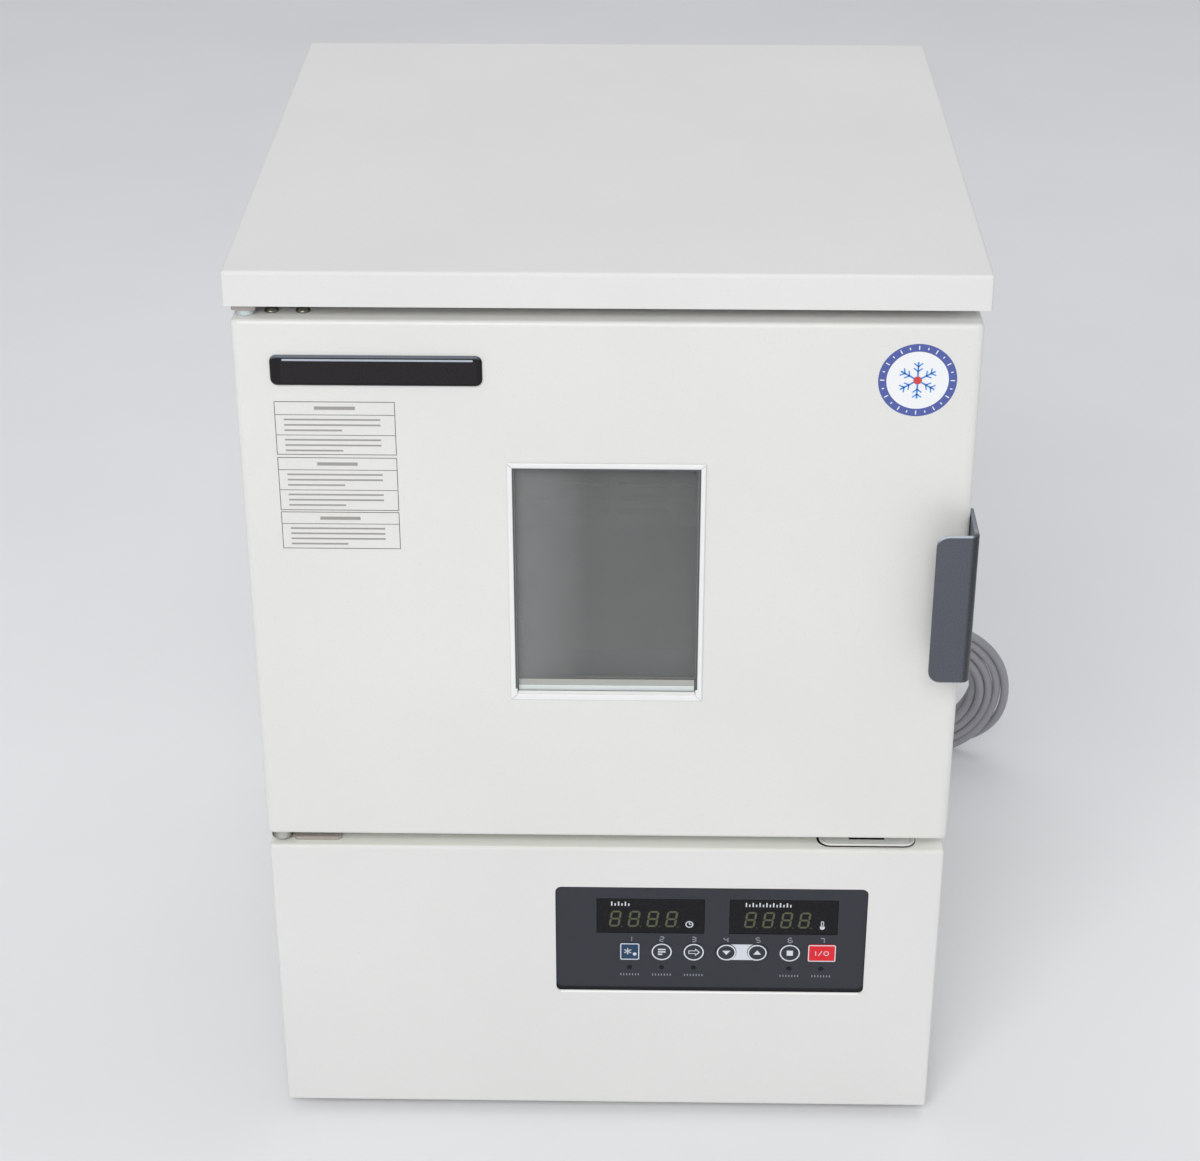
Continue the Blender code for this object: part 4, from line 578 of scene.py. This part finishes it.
# One more turn behind the last one, from which the tail leaves
for step in range(1, steps_per_turn + 1):
    done = step / steps_per_turn
    angle = -math.pi / 2 + math.tau * done
    depth = near_layer + last_step * eased(done / last_crossing)
    turn_points.append(coil_point(angle, (last_radius + last_widening * done) * mm, depth))
tail_points = [
    *offsets((coil_x, coil_rear, coil_z), (29.4, -0.8, -29.4), (41.4, -0.2, 0.4), (29.2, 1.8, 29.2),
             (0, 3.8, 40.5), (-29, 4.2, 27.5), (-40.5, 7, 1), (-44, 16.5, -27), (-54, 33, -50.5)),
    *offsets((coil_x, coil_rear, low_z), (-73, 56, 2), (-93, 71, 1.2)),
    *offsets((plug_end, plug_y, plug_z), (18, 0, 0), (-4, 0, 0)),
]
# The tail leaves the last turn in its direction
tail = smooth_line([turn_points[-6], turn_points[-1], *tail_points])[curve_steps:]
route = smooth_line(lead_points)[:-1] + [Vector(point) for point in turn_points[:-1]] + tail
curve = bpy.data.curves.new("mains_cord", "CURVE")
curve.dimensions = "3D"
curve.bevel_depth = cord_radius
curve.bevel_resolution = 7
curve.use_fill_caps = True
line = curve.splines.new("POLY")
line.points.add(len(route) - 1)
for target, point in zip(line.points, route):
    target.co = (*point, 1.0)
cord = bpy.data.objects.new("mains_cord", curve)
scene.collection.objects.link(cord)
curve.materials.append(skins["cord_vinyl"])
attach(cord, "cabinet")
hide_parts("cord_lead", "cord_coil", "cord_tail")

# Strain relief with rings, and the moulded plug
relief = bmesh.new()
length = gland_high.y - cover_back
profile = [(0.0060, 0.0), (gland_high.x - gland_x - 0.0001, 0.0), (0.0090, 0.0012), (0.0086, length * 0.20),
           (0.0078, length * 0.30)]
for ring in range(5):
    at = length * (0.34 + 0.12 * ring)
    wide = 0.0076 - 0.0005 * ring
    profile += [(wide, at), (wide, at + length * 0.055), (wide - 0.0013, at + length * 0.065),
                (wide - 0.0013, at + length * 0.115)]
profile += [(0.0046, length * 0.96), (0.0040, length)]
lathe(relief, profile, (gland_x, cover_back, gland_height), (0, 1, 0), round_steps)
relief = new_piece("cord_strain_relief", relief, "black_plastic", "cabinet")
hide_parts("cord_gland")

plug = bmesh.new()
rings = []
# Along the plug, half its depth and half its height, in millimetres
sections = ((0, 5.5, 5), (2, 7.5, 6.5), (10, 9.5, 7.5), (16, 12, 8.8), (18, 13.2, 9.4), (19.5, 12, 8.8),
            (21.5, 12, 8.8), (23, 13.4, 9.6), (24.5, 12.2, 8.9), (26.5, 12.2, 8.9), (28, 13.6, 9.7),
            (37, 13.8, 9.8), (39.2, 13.2, 9.4), (40, 11.8, 8.6))
for along, half_y, half_z in sections:
    points = ring_points(half_y * mm, half_z * mm, min(half_y, half_z) * 0.55 * mm, 4)
    rings.append([(plug_end - along * mm, plug_y + u, plug_z + v) for u, v in points])
loft(plug, rings)
plug = new_piece("plug_moulding", plug, "black_plastic", "cabinet")
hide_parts("power_plug")
blade_half, blade_offset = (0.00075, 0.0032), 0.00635
blades = bmesh.new()
for side in (-1, 1):
    rings = []
    for along, share in ((0.038, 1.0), (0.0545, 1.0), (0.0562, 0.8), (0.0569, 0.5)):
        points = bar(blade_half[0] * share, blade_half[1] * share)
        rings.append([(plug_end - along, plug_y + side * blade_offset + u, plug_z + v) for u, v in points])
    loft(blades, rings)
blades = new_piece("plug_blades", blades, "plug_brass", "cabinet")


# Refined solids

# Vertices closer than this are joined, edges flatter than this dissolved, and edges sharper than this rounded
weld, flat, sharp_from = 0.02 * mm, math.radians(2), math.radians(30)


def refined(name, node, skin, width, body, segments=2, pull=0.0):
    """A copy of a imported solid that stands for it, with rounded edges and its front pulled in if asked."""
    bm = bmesh.new()
    bm.from_mesh(nodes[node].data)
    front_half = sum(corner.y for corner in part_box(node)) / 2 - 0.002
    for vert in bm.verts:
        if vert.co.y < front_half:
            vert.co.y += pull
    bmesh.ops.remove_doubles(bm, verts=bm.verts, dist=weld)
    bmesh.ops.dissolve_limit(bm, angle_limit=flat, verts=bm.verts, edges=bm.edges)
    sharp = [edge for edge in bm.edges if len(edge.link_faces) == 2
             and edge.calc_face_angle(0.0) > sharp_from]
    bmesh.ops.bevel(bm, geom=sharp, offset=width, segments=segments, profile=0.5, affect="EDGES",
                    clamp_overlap=True)
    piece = new_piece(name, bm, skin, body, 40)
    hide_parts(node)


refined("handle_plate", "door_handle", "handle_coat", 0.0008, "door", 3)
for name in ("front_left", "front_right", "rear_left", "rear_right"):
    refined("foot_pad_" + name, "foot_" + name, "foot_rubber", 0.0005, "cabinet", 2)
# The hinge plates' steel is lightened as painted light for the shade they sit in
refined("hinge_plate_top", "top_hinge_bracket", "bracket_steel", 0.0003, "cabinet")
refined("hinge_plate_bottom", "bottom_hinge_bracket", "bracket_steel", 0.0003, "cabinet")
cap_pull = 0.0027
# Its plastic is lightened as painted light for the shade beneath the door
refined("ledge_cap_plate", "ledge_cap", "cap_white", 0.0002, "cabinet", pull=cap_pull)


# Screws

def screw(name, centre, axis, radius, height, skin="screw_bright", body="cabinet"):
    """A pan-head screw with a washer rim and a cross recess."""
    bm = bmesh.new()
    profile = ((1.0, 0.0), (1.0, 0.22), (0.96, 0.45), (0.80, 0.75), (0.55, 0.94), (0.50, 1.0), (0.44, 1.0),
               (0.36, 0.45), (0.08, 0.35))
    lathe(bm, [(radius * wide, height * rise) for wide, rise in profile], centre, axis, round_steps)
    turn = Vector((0, 0, 1)).rotation_difference(Vector(axis)).to_matrix()
    for quarter in (0, 1):
        points = bar(radius * 0.46, radius * 0.09, quarter * math.pi / 2)
        loft(bm, [[Vector(centre) + turn @ Vector((u, v, height * rise)) for u, v in points]
                  for rise in (0.5, 0.9)])
    new_piece(name, bm, skin, body)


for letter, x in (("a", -0.2019), ("b", -0.1828)):
    screw("door_screw_" + letter, (x, front + 0.016, door_high.z), (0, 0, 1), 0.00455, 0.0026, "screw_dark",
          "door")
handle_low, handle_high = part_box("door_handle")
handle_middle = (handle_low.z + handle_high.z) / 2
for index, rise in enumerate((-0.032, 0.032)):
    screw("handle_screw_%d" % index, (handle_high.x, front + 0.0075, handle_middle + rise), (1, 0, 0), 0.0036,
          0.0012, "screw_dark", "door")
for column, x in enumerate((-0.205, -0.070, 0.070, 0.205)):
    for row, z in enumerate((0.024, 0.330, 0.606)):
        if row != 1 or column in (0, 3):
            screw("cover_screw_%d_%d" % (column, row), (x, cover_back, z), (0, 1, 0), 0.0040, 0.0020)
case_low, case_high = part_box("outer_case")
for side, x in ((-1, case_low.x), (1, case_high.x)):
    for index, y in enumerate((case_low.y + 0.030, case_high.y - 0.030)):
        screw("side_screw_%d_%d" % (side + 1, index), (x, y, 0.020), (side, 0, 0), 0.0038, 0.0018)
hinge_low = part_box("bottom_hinge_bracket")[0]
for index, x in enumerate((hinge_low.x + 0.020, hinge_low.x + 0.035)):
    screw("hinge_screw_%d" % index, (x, hinge_low.y + 0.0215, hinge_low.z + 0.0022), (0, 0, 1), 0.0036,
          0.0016)


# Blank plate, round mark and ruled form on the door

plate_x, plate_z = -0.13885, door_high.z - 0.0318
half_u, half_v = 0.0641, 0.0098
thick = 0.0021
front_plate("name_plate_rim", ring_points(half_u, half_v, 0.0042), (plate_x, plate_z), front, thick,
            "plate_rim", 0.0017)
front_plate("name_plate_face", ring_points(half_u - 0.0047, half_v - 0.0026, 0.0016),
            (plate_x + 0.0018, plate_z - 0.0004), front - 0.0019, 0.0004, "plate_face", 0.0002)
# A painted highlight: a pale line along the top of the plate that stands in for a reflection
glint_line = bmesh.new()
print_mesh(glint_line, ring_points(half_u - 0.0066, 0.0006, 0.0005, 3),
           (plate_x + 0.0012, plate_z + half_v - 0.0024), front - thick, 0.0003)
new_piece("name_plate_glint_line", glint_line, "plate_glint", "door")

mark_x, mark_z = 0.1869, door_high.z - 0.0360
mark_radius = 0.0237
mark_rise, disc_rise = 0.00012, 0.00006
front_plate("round_mark_ring", circle_points(mark_radius, 64), (mark_x, mark_z), front, mark_rise,
            "sticker_blue")
front_plate("round_mark_disc", circle_points(mark_radius * 0.79, 64), (mark_x, mark_z), front - mark_rise,
            disc_rise, "sticker_white")


def round_mark(angle, reach):
    """A place on the round mark."""
    return mark_x + reach * math.cos(angle), mark_z + reach * math.sin(angle)


marks = bmesh.new()
ticks = 24
for index in range(ticks):
    turn = math.tau * index / ticks
    half_length = 0.0007 if index % 2 else 0.0013
    print_mesh(marks, bar(half_length, 0.00032, turn), round_mark(turn, mark_radius * 0.895),
               front - mark_rise)
new_piece("round_mark_ticks", marks, "sticker_white", "door")
crystal = bmesh.new()
face = front - mark_rise - disc_rise
arms, twig = 6, 0.0017
for index in range(arms):
    turn = math.tau * index / arms + math.pi / 6
    print_mesh(crystal, bar(0.0058, 0.00055, turn), round_mark(turn, 0.0062), face)
    for lean in (-0.9, 0.9):
        for reach in (0.0058, 0.0090):
            root = round_mark(turn, reach)
            tip = (root[0] + twig * math.cos(turn + lean), root[1] + twig * math.sin(turn + lean))
            print_mesh(crystal, bar(twig, 0.00042, turn + lean), tip, face)
new_piece("round_mark_crystal", crystal, "sticker_sky", "door")
front_plate("round_mark_dot", circle_points(0.0026, 32), (mark_x, mark_z), face - print_rise, disc_rise,
            "sticker_red")

form_left, form_right, form_top = -0.2019, -0.1284, 0.5499
form_middle = (form_left + form_right) / 2
form_half = (form_right - form_left) / 2
frame_width, row_pitch = 0.00042, 0.0036
lines = bmesh.new()
faint = bmesh.new()
# Each field of the form: its top, its foot and the lines ruled in it
for start, end, rules in ((0.0, 0.0358, (0.0089, 0.0225)), (0.0376, 0.0739, (0.0085, 0.0223)),
                          (0.0750, 0.1007, (0.0083,))):
    top, bottom = form_top - start, form_top - end
    half = (form_half, (top - bottom) / 2)
    inner = [(u * (1 - frame_width / half[0]), v * (1 - frame_width / half[1])) for u, v in bar(*half)]
    print_ring(lines, bar(*half), inner, (form_middle, (top + bottom) / 2), front)
    for rule in rules:
        print_mesh(lines, bar(form_half - frame_width, 0.00018), (form_middle, top - rule), front)
    print_mesh(faint, bar(form_half * 0.34, 0.0011), (form_middle, top - 0.0044), front)
    edges = [*rules, top - bottom]
    for high, low in zip(edges, edges[1:]):
        rows = max(int((low - high - 0.002) / row_pitch), 1)
        for row in range(rows):
            half_length = form_half * (0.80 if row < rows - 1 else 0.48)
            row_place = (form_left + 0.0055 + half_length, top - high - 0.0032 - row * row_pitch)
            print_mesh(faint, bar(half_length, 0.00056), row_place, front)
new_piece("blank_form_frame", lines, "line_print", "door")
new_piece("blank_form_rules", faint, "faint_print", "door")

# Grey lining of the opening behind the glass
pane_low, pane_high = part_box("inner_glass")
plateau_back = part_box("door_liner")[1].y
window_middle = (pane_low.z + pane_high.z) / 2
open_half = (0.0571, 0.0802)
lining = bmesh.new()
lining_depths = (pane_high.y + 0.0004, plateau_back - 0.0006)
rings = []
for inset, depth in ((0.0, lining_depths[0]), (0.0010, lining_depths[0]), (0.0010, lining_depths[1]),
                     (0.0, lining_depths[1])):
    points = ring_points(open_half[0] - inset, open_half[1] - inset, 0.0008, 3)
    rings.append(facing(points, (0.0, window_middle), depth))
loft(lining, rings, looped=True)
new_piece("window_lining", lining, "lining_grey", "door")

# Strips along the foot of the outer pane: half length, and a section of (depth, rise), in millimetres
glass_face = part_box("outer_glass")[0].y
foot = window_middle - open_half[1] + 0.0002
for name, skin, reach, section in (
        ("glazing_bead", "bead_white", 56.3, ((0.2, 0.5), (1.8, 0.5), (1.9, 1.0), (1.3, 4.0), (0.2, 4.3))),
        ("glazing_seal", "seal_grey", 56.3, ((0.2, 4.4), (1.2, 4.4), (0.7, 7.5), (0.2, 8.0))),
        # A painted shadow line at the bead's foot
        ("bead_foot", "border_grey", 56.5, ((1.8, 0), (3.2, 0), (3.2, 0.2), (2.0, 0.4))),
        # The sill's near-white paint is painted light on its level face
        ("window_sill", "sill_white", 56.6, ((3.1, 0), (5.6, 0), (5.6, 0.1), (3.6, 0.9), (3.1, 0.9)))):
    strip = bmesh.new()
    loft(strip, [[(x * mm, glass_face - depth * mm, foot + rise * mm) for depth, rise in section]
                 for x in (-reach, reach)])
    new_piece(name, strip, skin, "door")

# Mitre lines of the window trim
trim_low, trim_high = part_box("window_frame")
trim_middle = (trim_low.z + trim_high.z) / 2
trim_half = (trim_high.x, (trim_high.z - trim_low.z) / 2)
mitres = bmesh.new()
for side_u in (-1, 1):
    for side_v in (-1, 1):
        corner = (side_u * (trim_half[0] - 0.0022), trim_middle + side_v * (trim_half[1] - 0.0022))
        turn = math.pi / 4 if side_u == side_v else -math.pi / 4
        print_mesh(mitres, bar(0.0026, 0.00011, turn), corner, trim_low.y + 0.00002)
new_piece("window_mitres", mitres, "grey_print", "door")

# Dark glazing gasket over the trim's inner edge, at both sides and the head
lips = bmesh.new()
inner_u, inner_v = trim_half[0] - 0.0042, trim_half[1] - 0.0042
lip_half, lip_offset, lip_rise = 0.0006, 0.0005, 0.0002
for side in (-1, 1):
    print_mesh(lips, bar(lip_half, inner_v - 0.0022), (side * (inner_u + lip_offset), trim_middle + 0.0022),
               trim_low.y, lip_rise)
print_mesh(lips, bar(inner_u + lip_half + lip_offset, lip_half), (0.0, trim_middle + inner_v + lip_offset),
           trim_low.y, lip_rise)
new_piece("glazing_gasket", lips, "gasket_dark", "door")


# Control panel

film = bezel_low.y
film_centre = ((bezel_low.x + bezel_high.x) / 2, (bezel_low.z + bezel_high.z) / 2)
bezel_margin = 0.006
cutout_half = ((bezel_high.x - bezel_low.x) / 2 - bezel_margin,
               (bezel_high.z - bezel_low.z) / 2 - bezel_margin)
display_low, display_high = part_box("timer_display")
lens_face = display_low.y
lens_middle = (display_low.z + display_high.z) / 2
key_flange = 0.0012
key_boxes = {}
for key in ("defrost", "program", "shift", "down", "up", "set", "power"):
    low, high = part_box("key_" + key)
    key_boxes[key] = ((low.x + high.x) / 2, (low.z + high.z) / 2, low.y, (high.x - low.x) / 2 - key_flange,
                      (high.z - low.z) / 2 - key_flange)
row_z = key_boxes["down"][1]
arrow_ring = key_boxes["down"][3] - 0.0005

# Dark painted shadow line between the film and the panel's cut-out, widest at the bottom
border = bmesh.new()
outer = ring_points(*cutout_half, 0.0040)
middle = [(u, v + 0.0004) for u, v in ring_points(cutout_half[0] - 0.0003, cutout_half[1] - 0.0007, 0.0038)]
print_ring(border, outer, middle, film_centre, film)
new_piece("film_shadow_line", border, "border_black", "cabinet")
shade = bmesh.new()
inner = [(u, v + 0.0014) for u, v in ring_points(cutout_half[0] - 0.0004, cutout_half[1] - 0.0018, 0.0038)]
print_ring(shade, middle, inner, film_centre, film, print_rise / 2)
new_piece("film_shade", shade, "border_grey", "cabinet")

# Pale rolled edge of the cut-out, along its foot, in a whiter paint that is a painted highlight
panel_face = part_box("lower_front_panel")[0].y
edge_highlight = bmesh.new()
edge_section = ((1.1, -0.2), (1.1, 0.3), (0.2, 0.3), (-0.3, -0.2), (-0.5, -0.7), (0, -1))
rings = []
for share in range(13):
    u = (-1 + 2 * share / 12) * (cutout_half[0] - 0.0030)
    rings.append([(film_centre[0] + u, panel_face + depth * mm, film_centre[1] - cutout_half[1] + rise * mm)
                  for depth, rise in edge_section])
loft(edge_highlight, rings)
new_piece("cutout_edge_highlight", edge_highlight, "edge_white", "cabinet")

digit_rise, joint_gap = 0.00004, 0.15
segments = {"a": ((-1, 1), (1, 1)), "b": ((1, 1), (1, 0)), "c": ((1, 0), (1, -1)), "d": ((1, -1), (-1, -1)),
            "e": ((-1, -1), (-1, 0)), "f": ((-1, 0), (-1, 1)), "g": ((-1, 0), (1, 0))}


def digit(bm, centre, half_u, half_v, thick, names, back, lean=8):
    """Adds the bars of a seven-bar digit that leans by some degrees."""
    slant = math.tan(math.radians(lean))
    for name in names:
        (u0, v0), (u1, v1) = segments[name]
        start = Vector((u0 * half_u, v0 * half_v))
        end = Vector((u1 * half_u, v1 * half_v))
        along = (end - start).normalized()
        side = Vector((-along.y, along.x)) * thick / 2
        start += along * thick * joint_gap
        end -= along * thick * joint_gap
        lead = along * thick / 2
        points = [start, start + lead + side, end - lead + side, end, end - lead - side, start + lead - side]
        print_mesh(bm, [(point.x + point.y * slant, point.y) for point in points], centre, back, digit_rise)


# Unlit digits with their points
digit_middle = lens_middle - 0.0026
for name, first, pitch in (("timer_digits", 0.0060, 0.0127), ("temperature_digits", 0.0975, 0.0122)):
    bm = bmesh.new()
    for index in range(4):
        x = first + index * pitch
        digit(bm, (x, digit_middle), 0.0030, 0.0059, 0.0014, "abcdefg", lens_face)
        print_mesh(bm, circle_points(0.0004, 12), (x + 0.0044, digit_middle - 0.0064), lens_face, digit_rise)
    new_piece(name, bm, "unlit_digit", "cabinet")

# Ticks over the digits, a clock beside one display and a thermometer beside the other
marks = bmesh.new()
title_middle, sign_middle = lens_middle + 0.0098, lens_middle - 0.0068
tall, short, tick_pitch = 0.0017, 0.0010, 0.0023
for first, count in ((0.0036, 6), (0.0944, 14)):
    for index in range(count):
        half = short if index % 2 else tall
        print_mesh(marks, bar(0.00045, half, 0, (0, half - tall)), (first + index * tick_pitch, title_middle),
                   lens_face)
clock = (0.0562, sign_middle)
print_ring(marks, circle_points(0.0027, 24), circle_points(0.0020, 24), clock, lens_face)
print_mesh(marks, bar(0.00035, 0.0009, 0, (0, 0.0007)), clock, lens_face)
print_mesh(marks, bar(0.0008, 0.00035, 0, (0.0006, 0)), clock, lens_face)
warm = (0.1462, sign_middle)
print_ring(marks, ring_points(0.0010, 0.0024, 0.0009, 4), ring_points(0.0005, 0.0019, 0.0004, 4),
           (warm[0], warm[1] + 0.0012), lens_face)
print_mesh(marks, circle_points(0.0017, 20), (warm[0], warm[1] - 0.0016), lens_face)
new_piece("display_marks", marks, "light_print", "cabinet")

# Rims and signs printed on the keys, which move with them
arrow_shift = 0.0004
for key, (x, z, face, half_u, half_v) in key_boxes.items():
    bm = bmesh.new()
    wide, high = half_u - 0.0001, half_v - 0.0001
    if key in ("defrost", "power"):
        inner = ring_points(wide - 0.0007, high - 0.0007, 0.0006)
        print_ring(bm, ring_points(wide, high, 0.0011), inner, (x, z), face)
    elif key in ("down", "up"):
        # The ring stands a little toward the other arrow key and runs out to the cap's edge there
        inward = 1 if key == "down" else -1
        outer = []
        for u, v in circle_points(arrow_ring, 48):
            reach = math.sqrt(wide ** 2 - v ** 2) if u > 0 else u + arrow_shift
            outer.append((inward * max(reach, u + arrow_shift), v))
        inner = [(inward * (u + arrow_shift), v) for u, v in circle_points(arrow_ring - 0.0009, 48)]
        print_ring(bm, outer, inner, (x, z), face)
        x += inward * arrow_shift
    else:
        print_ring(bm, circle_points(wide, 40), circle_points(wide - 0.0009, 40), (x, z), face)
    if key == "defrost":
        for turn in (90, 150, 210):
            print_mesh(bm, bar(0.0027, 0.00034, math.radians(turn)), (x - 0.0014, z + 0.0003), face)
        print_mesh(bm, circle_points(0.0013, 16), (x + 0.0034, z - 0.0020), face)
    if key == "program":
        for row, half in ((0.0020, 0.0026), (0.0, 0.0026), (-0.0020, 0.0015)):
            print_mesh(bm, bar(half, 0.00055, 0, (half - 0.0026, row)), (x, z), face)
    if key == "shift":
        # Half an outline each, closed by its mirror image
        outlines = []
        for half in (((0.0010, 0.0031), (0.0010, 0.0014), (-0.0036, 0.0014)),
                     ((0.0014, 0.0019), (0.0014, 0.0009), (-0.0031, 0.0009))):
            outlines.append([*half, *((u, -v) for u, v in reversed(half))])
        print_ring(bm, [(0.0042, 0.0), *outlines[0]], [(0.0033, 0.0), *outlines[1]], (x, z), face)
    if key == "down":
        print_mesh(bm, [(0.0027, 0.0015), (-0.0027, 0.0015), (0.0, -0.0021)], (x, z), face)
    if key == "up":
        print_mesh(bm, [(0.0027, -0.0015), (0.0, 0.0021), (-0.0027, -0.0015)], (x, z), face)
    if key == "set":
        print_mesh(bm, bar(0.0021, 0.0021), (x, z), face)
    if key == "power":
        print_mesh(bm, bar(0.00028, 0.0018), (x - 0.0042, z), face)
        print_mesh(bm, bar(0.00026, 0.0023, -0.5), (x - 0.0012, z), face)
        print_ring(bm, circle_points(0.0019, 20), circle_points(0.0014, 20), (x + 0.0030, z), face)
    new_piece("key_mark_" + key, bm, "light_print", "key_" + key)

# The light bridge between the two arrow keys
key_hole = key_boxes["down"][3] + 0.0003
open_angle = math.asin(arrow_ring / key_hole)
bridge = []
for key, start in (("down", 0.0), ("up", math.pi)):
    for step in range(17):
        angle = start + open_angle - 2 * open_angle * step / 16
        bridge.append((key_boxes[key][0] + key_hole * math.cos(angle), key_hole * math.sin(angle)))
bm = bmesh.new()
print_mesh(bm, bridge, (0.0, row_z), film)
new_piece("key_bridge", bm, "light_print", "cabinet")

# Status lamps under the keys, numbers over them and rows of ticks at the foot
number_z, lamp_z, tick_z = row_z + 0.0103, row_z - 0.0135, row_z - 0.0196
leds = bmesh.new()
legends = bmesh.new()
numbers = ("bc", "abged", "abgcd", "fgbc", "afgcd", "afgcde", "abc")
for bars, (key, (x, *_)) in zip(numbers, key_boxes.items()):
    digit(legends, (x, number_z), 0.0013, 0.0019, 0.0007, bars, film, 0)
    if key not in ("down", "up"):
        lathe(leds, [(0.0018, 0.0), (0.0017, 0.00018), (0.0011, 0.00034), (0.0003, 0.0004)],
              (x - 0.0001, film, lamp_z), (0, -1, 0), 20)
        for tick in range(-3, 4):
            print_mesh(legends, bar(0.00032, 0.0008), (x + tick * 0.0020, tick_z), film)
new_piece("status_lamps", leds, "led_lens", "cabinet")
new_piece("key_legends", legends, "grey_print", "cabinet")


# Ledge cap: painted shadow round it, widest on its free side, a raised lip with a painted highlight, and
# painted shade in the finger slot

cap_low, cap_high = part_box("ledge_cap")
panel_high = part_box("lower_front_panel")[1].z
cap_middle = ((cap_low.x + cap_high.x) / 2, (cap_low.y + cap_high.y + cap_pull) / 2)
cap_half = (0.032, 0.013 - cap_pull / 2)
cap_corner = 0.008


def level(points, centre, height):
    """Points of a level plane: across, back."""
    return [(centre[0] + u, centre[1] + v, height) for u, v in points]


gap = bmesh.new()
gap_rise, lip_foot, slot_rise = 0.00012, 0.0001, 0.0001
outer = ring_points(cap_half[0] + 0.0010, cap_half[1] + 0.0008, cap_corner + 0.0008, 8)
outer = [(u - 0.0006, v - 0.0004) for u, v in outer]
inner = ring_points(cap_half[0] + 0.0001, cap_half[1] + 0.0001, cap_corner, 8)
loft(gap, [level(points, cap_middle, panel_high + rise) for points, rise in (
    (outer, 0.0), (outer, gap_rise), (inner, gap_rise), (inner, 0.0))], looped=True)
new_piece("ledge_cap_shadow_line", gap, "border_black", "cabinet")
lip = bmesh.new()
rings = []
for inset, rise in ((0.0001, 0.0), (0.0001, 0.0006), (0.0005, 0.0010), (0.0014, 0.0010), (0.0026, 0.0003),
                    (0.0026, 0.0)):
    points = ring_points(cap_half[0] - inset, cap_half[1] - inset, cap_corner - inset, 8)
    rings.append(level(points, cap_middle, panel_high + lip_foot + rise))
loft(lip, rings, looped=True)
new_piece("ledge_cap_lip_highlight", lip, "edge_white", "cabinet")
slot_shade = bmesh.new()
points = ring_points(0.0120, 0.0013, 0.0008, 4)
slot_middle = (cap_middle[0], cap_low.y + 0.0142)
loft(slot_shade, [level(points, slot_middle, cap_high.z + rise) for rise in (0.0, slot_rise)])
new_piece("ledge_cap_slot_shade", slot_shade, "border_black", "cabinet")


# Floor, backdrop and light

floor_skin, tree, shader, place = tree_of("floor_card", shown(240, 241, 243), 0.8)
soft = noise(tree, place, 3.0, 4.0)
tone = blend_colours(tree, spread(tree, soft), shown(238, 239, 241), shown(242, 243, 245))
dress(tree, shader, tone, noise(tree, place, 240.0), 0.15, 0.0002)
bm = bmesh.new()
bmesh.ops.create_grid(bm, x_segments=1, y_segments=1, size=12.0)
mesh = bpy.data.meshes.new("floor")
bm.to_mesh(mesh)
bm.free()
floor = bpy.data.objects.new("floor", mesh)
floor.location = (0, 0, -0.0002)
scene.collection.objects.link(floor)
mesh.materials.append(floor_skin)

world = bpy.data.worlds.new("soft_room")
scene.world = world
world.use_nodes = True
tree = world.node_tree
sky = tree.nodes["Background"]
sky.inputs["Color"].default_value = (0.97, 0.98, 1.0, 1.0)
aside = node_of(tree, "Math", axes(tree, "Generated")["X"])
aside.operation = "ABSOLUTE"
# Less light from both sides than from front, rear and above
tree.links.new(spread(tree, aside.outputs["Value"], 0.54, 0.32, 0.55, 0.95), sky.inputs["Strength"])


def lamp(name, place, target, size, power, colour=(1.0, 1.0, 1.0)):
    """A large soft lamp that looks at a point."""
    light = bpy.data.lights.new(name, "AREA")
    light.shape = "RECTANGLE"
    light.size, light.size_y = size
    light.energy = power
    light.color = colour
    made = bpy.data.objects.new(name, light)
    made.location = place
    made.rotation_mode = "QUATERNION"
    made.rotation_quaternion = (Vector(target) - Vector(place)).to_track_quat("-Z", "Y")
    scene.collection.objects.link(made)


lamp("front_lamp", (-0.8, -4.0, 3.5), (0, 0, 0.25), (3.2, 2.2), 130, (1.0, 0.99, 0.975))
lamp("top_lamp", (0.3, 0.7, 3.0), (0, 0, 0.4), (2.2, 2.2), 12)

scene.view_settings.view_transform = "Standard"
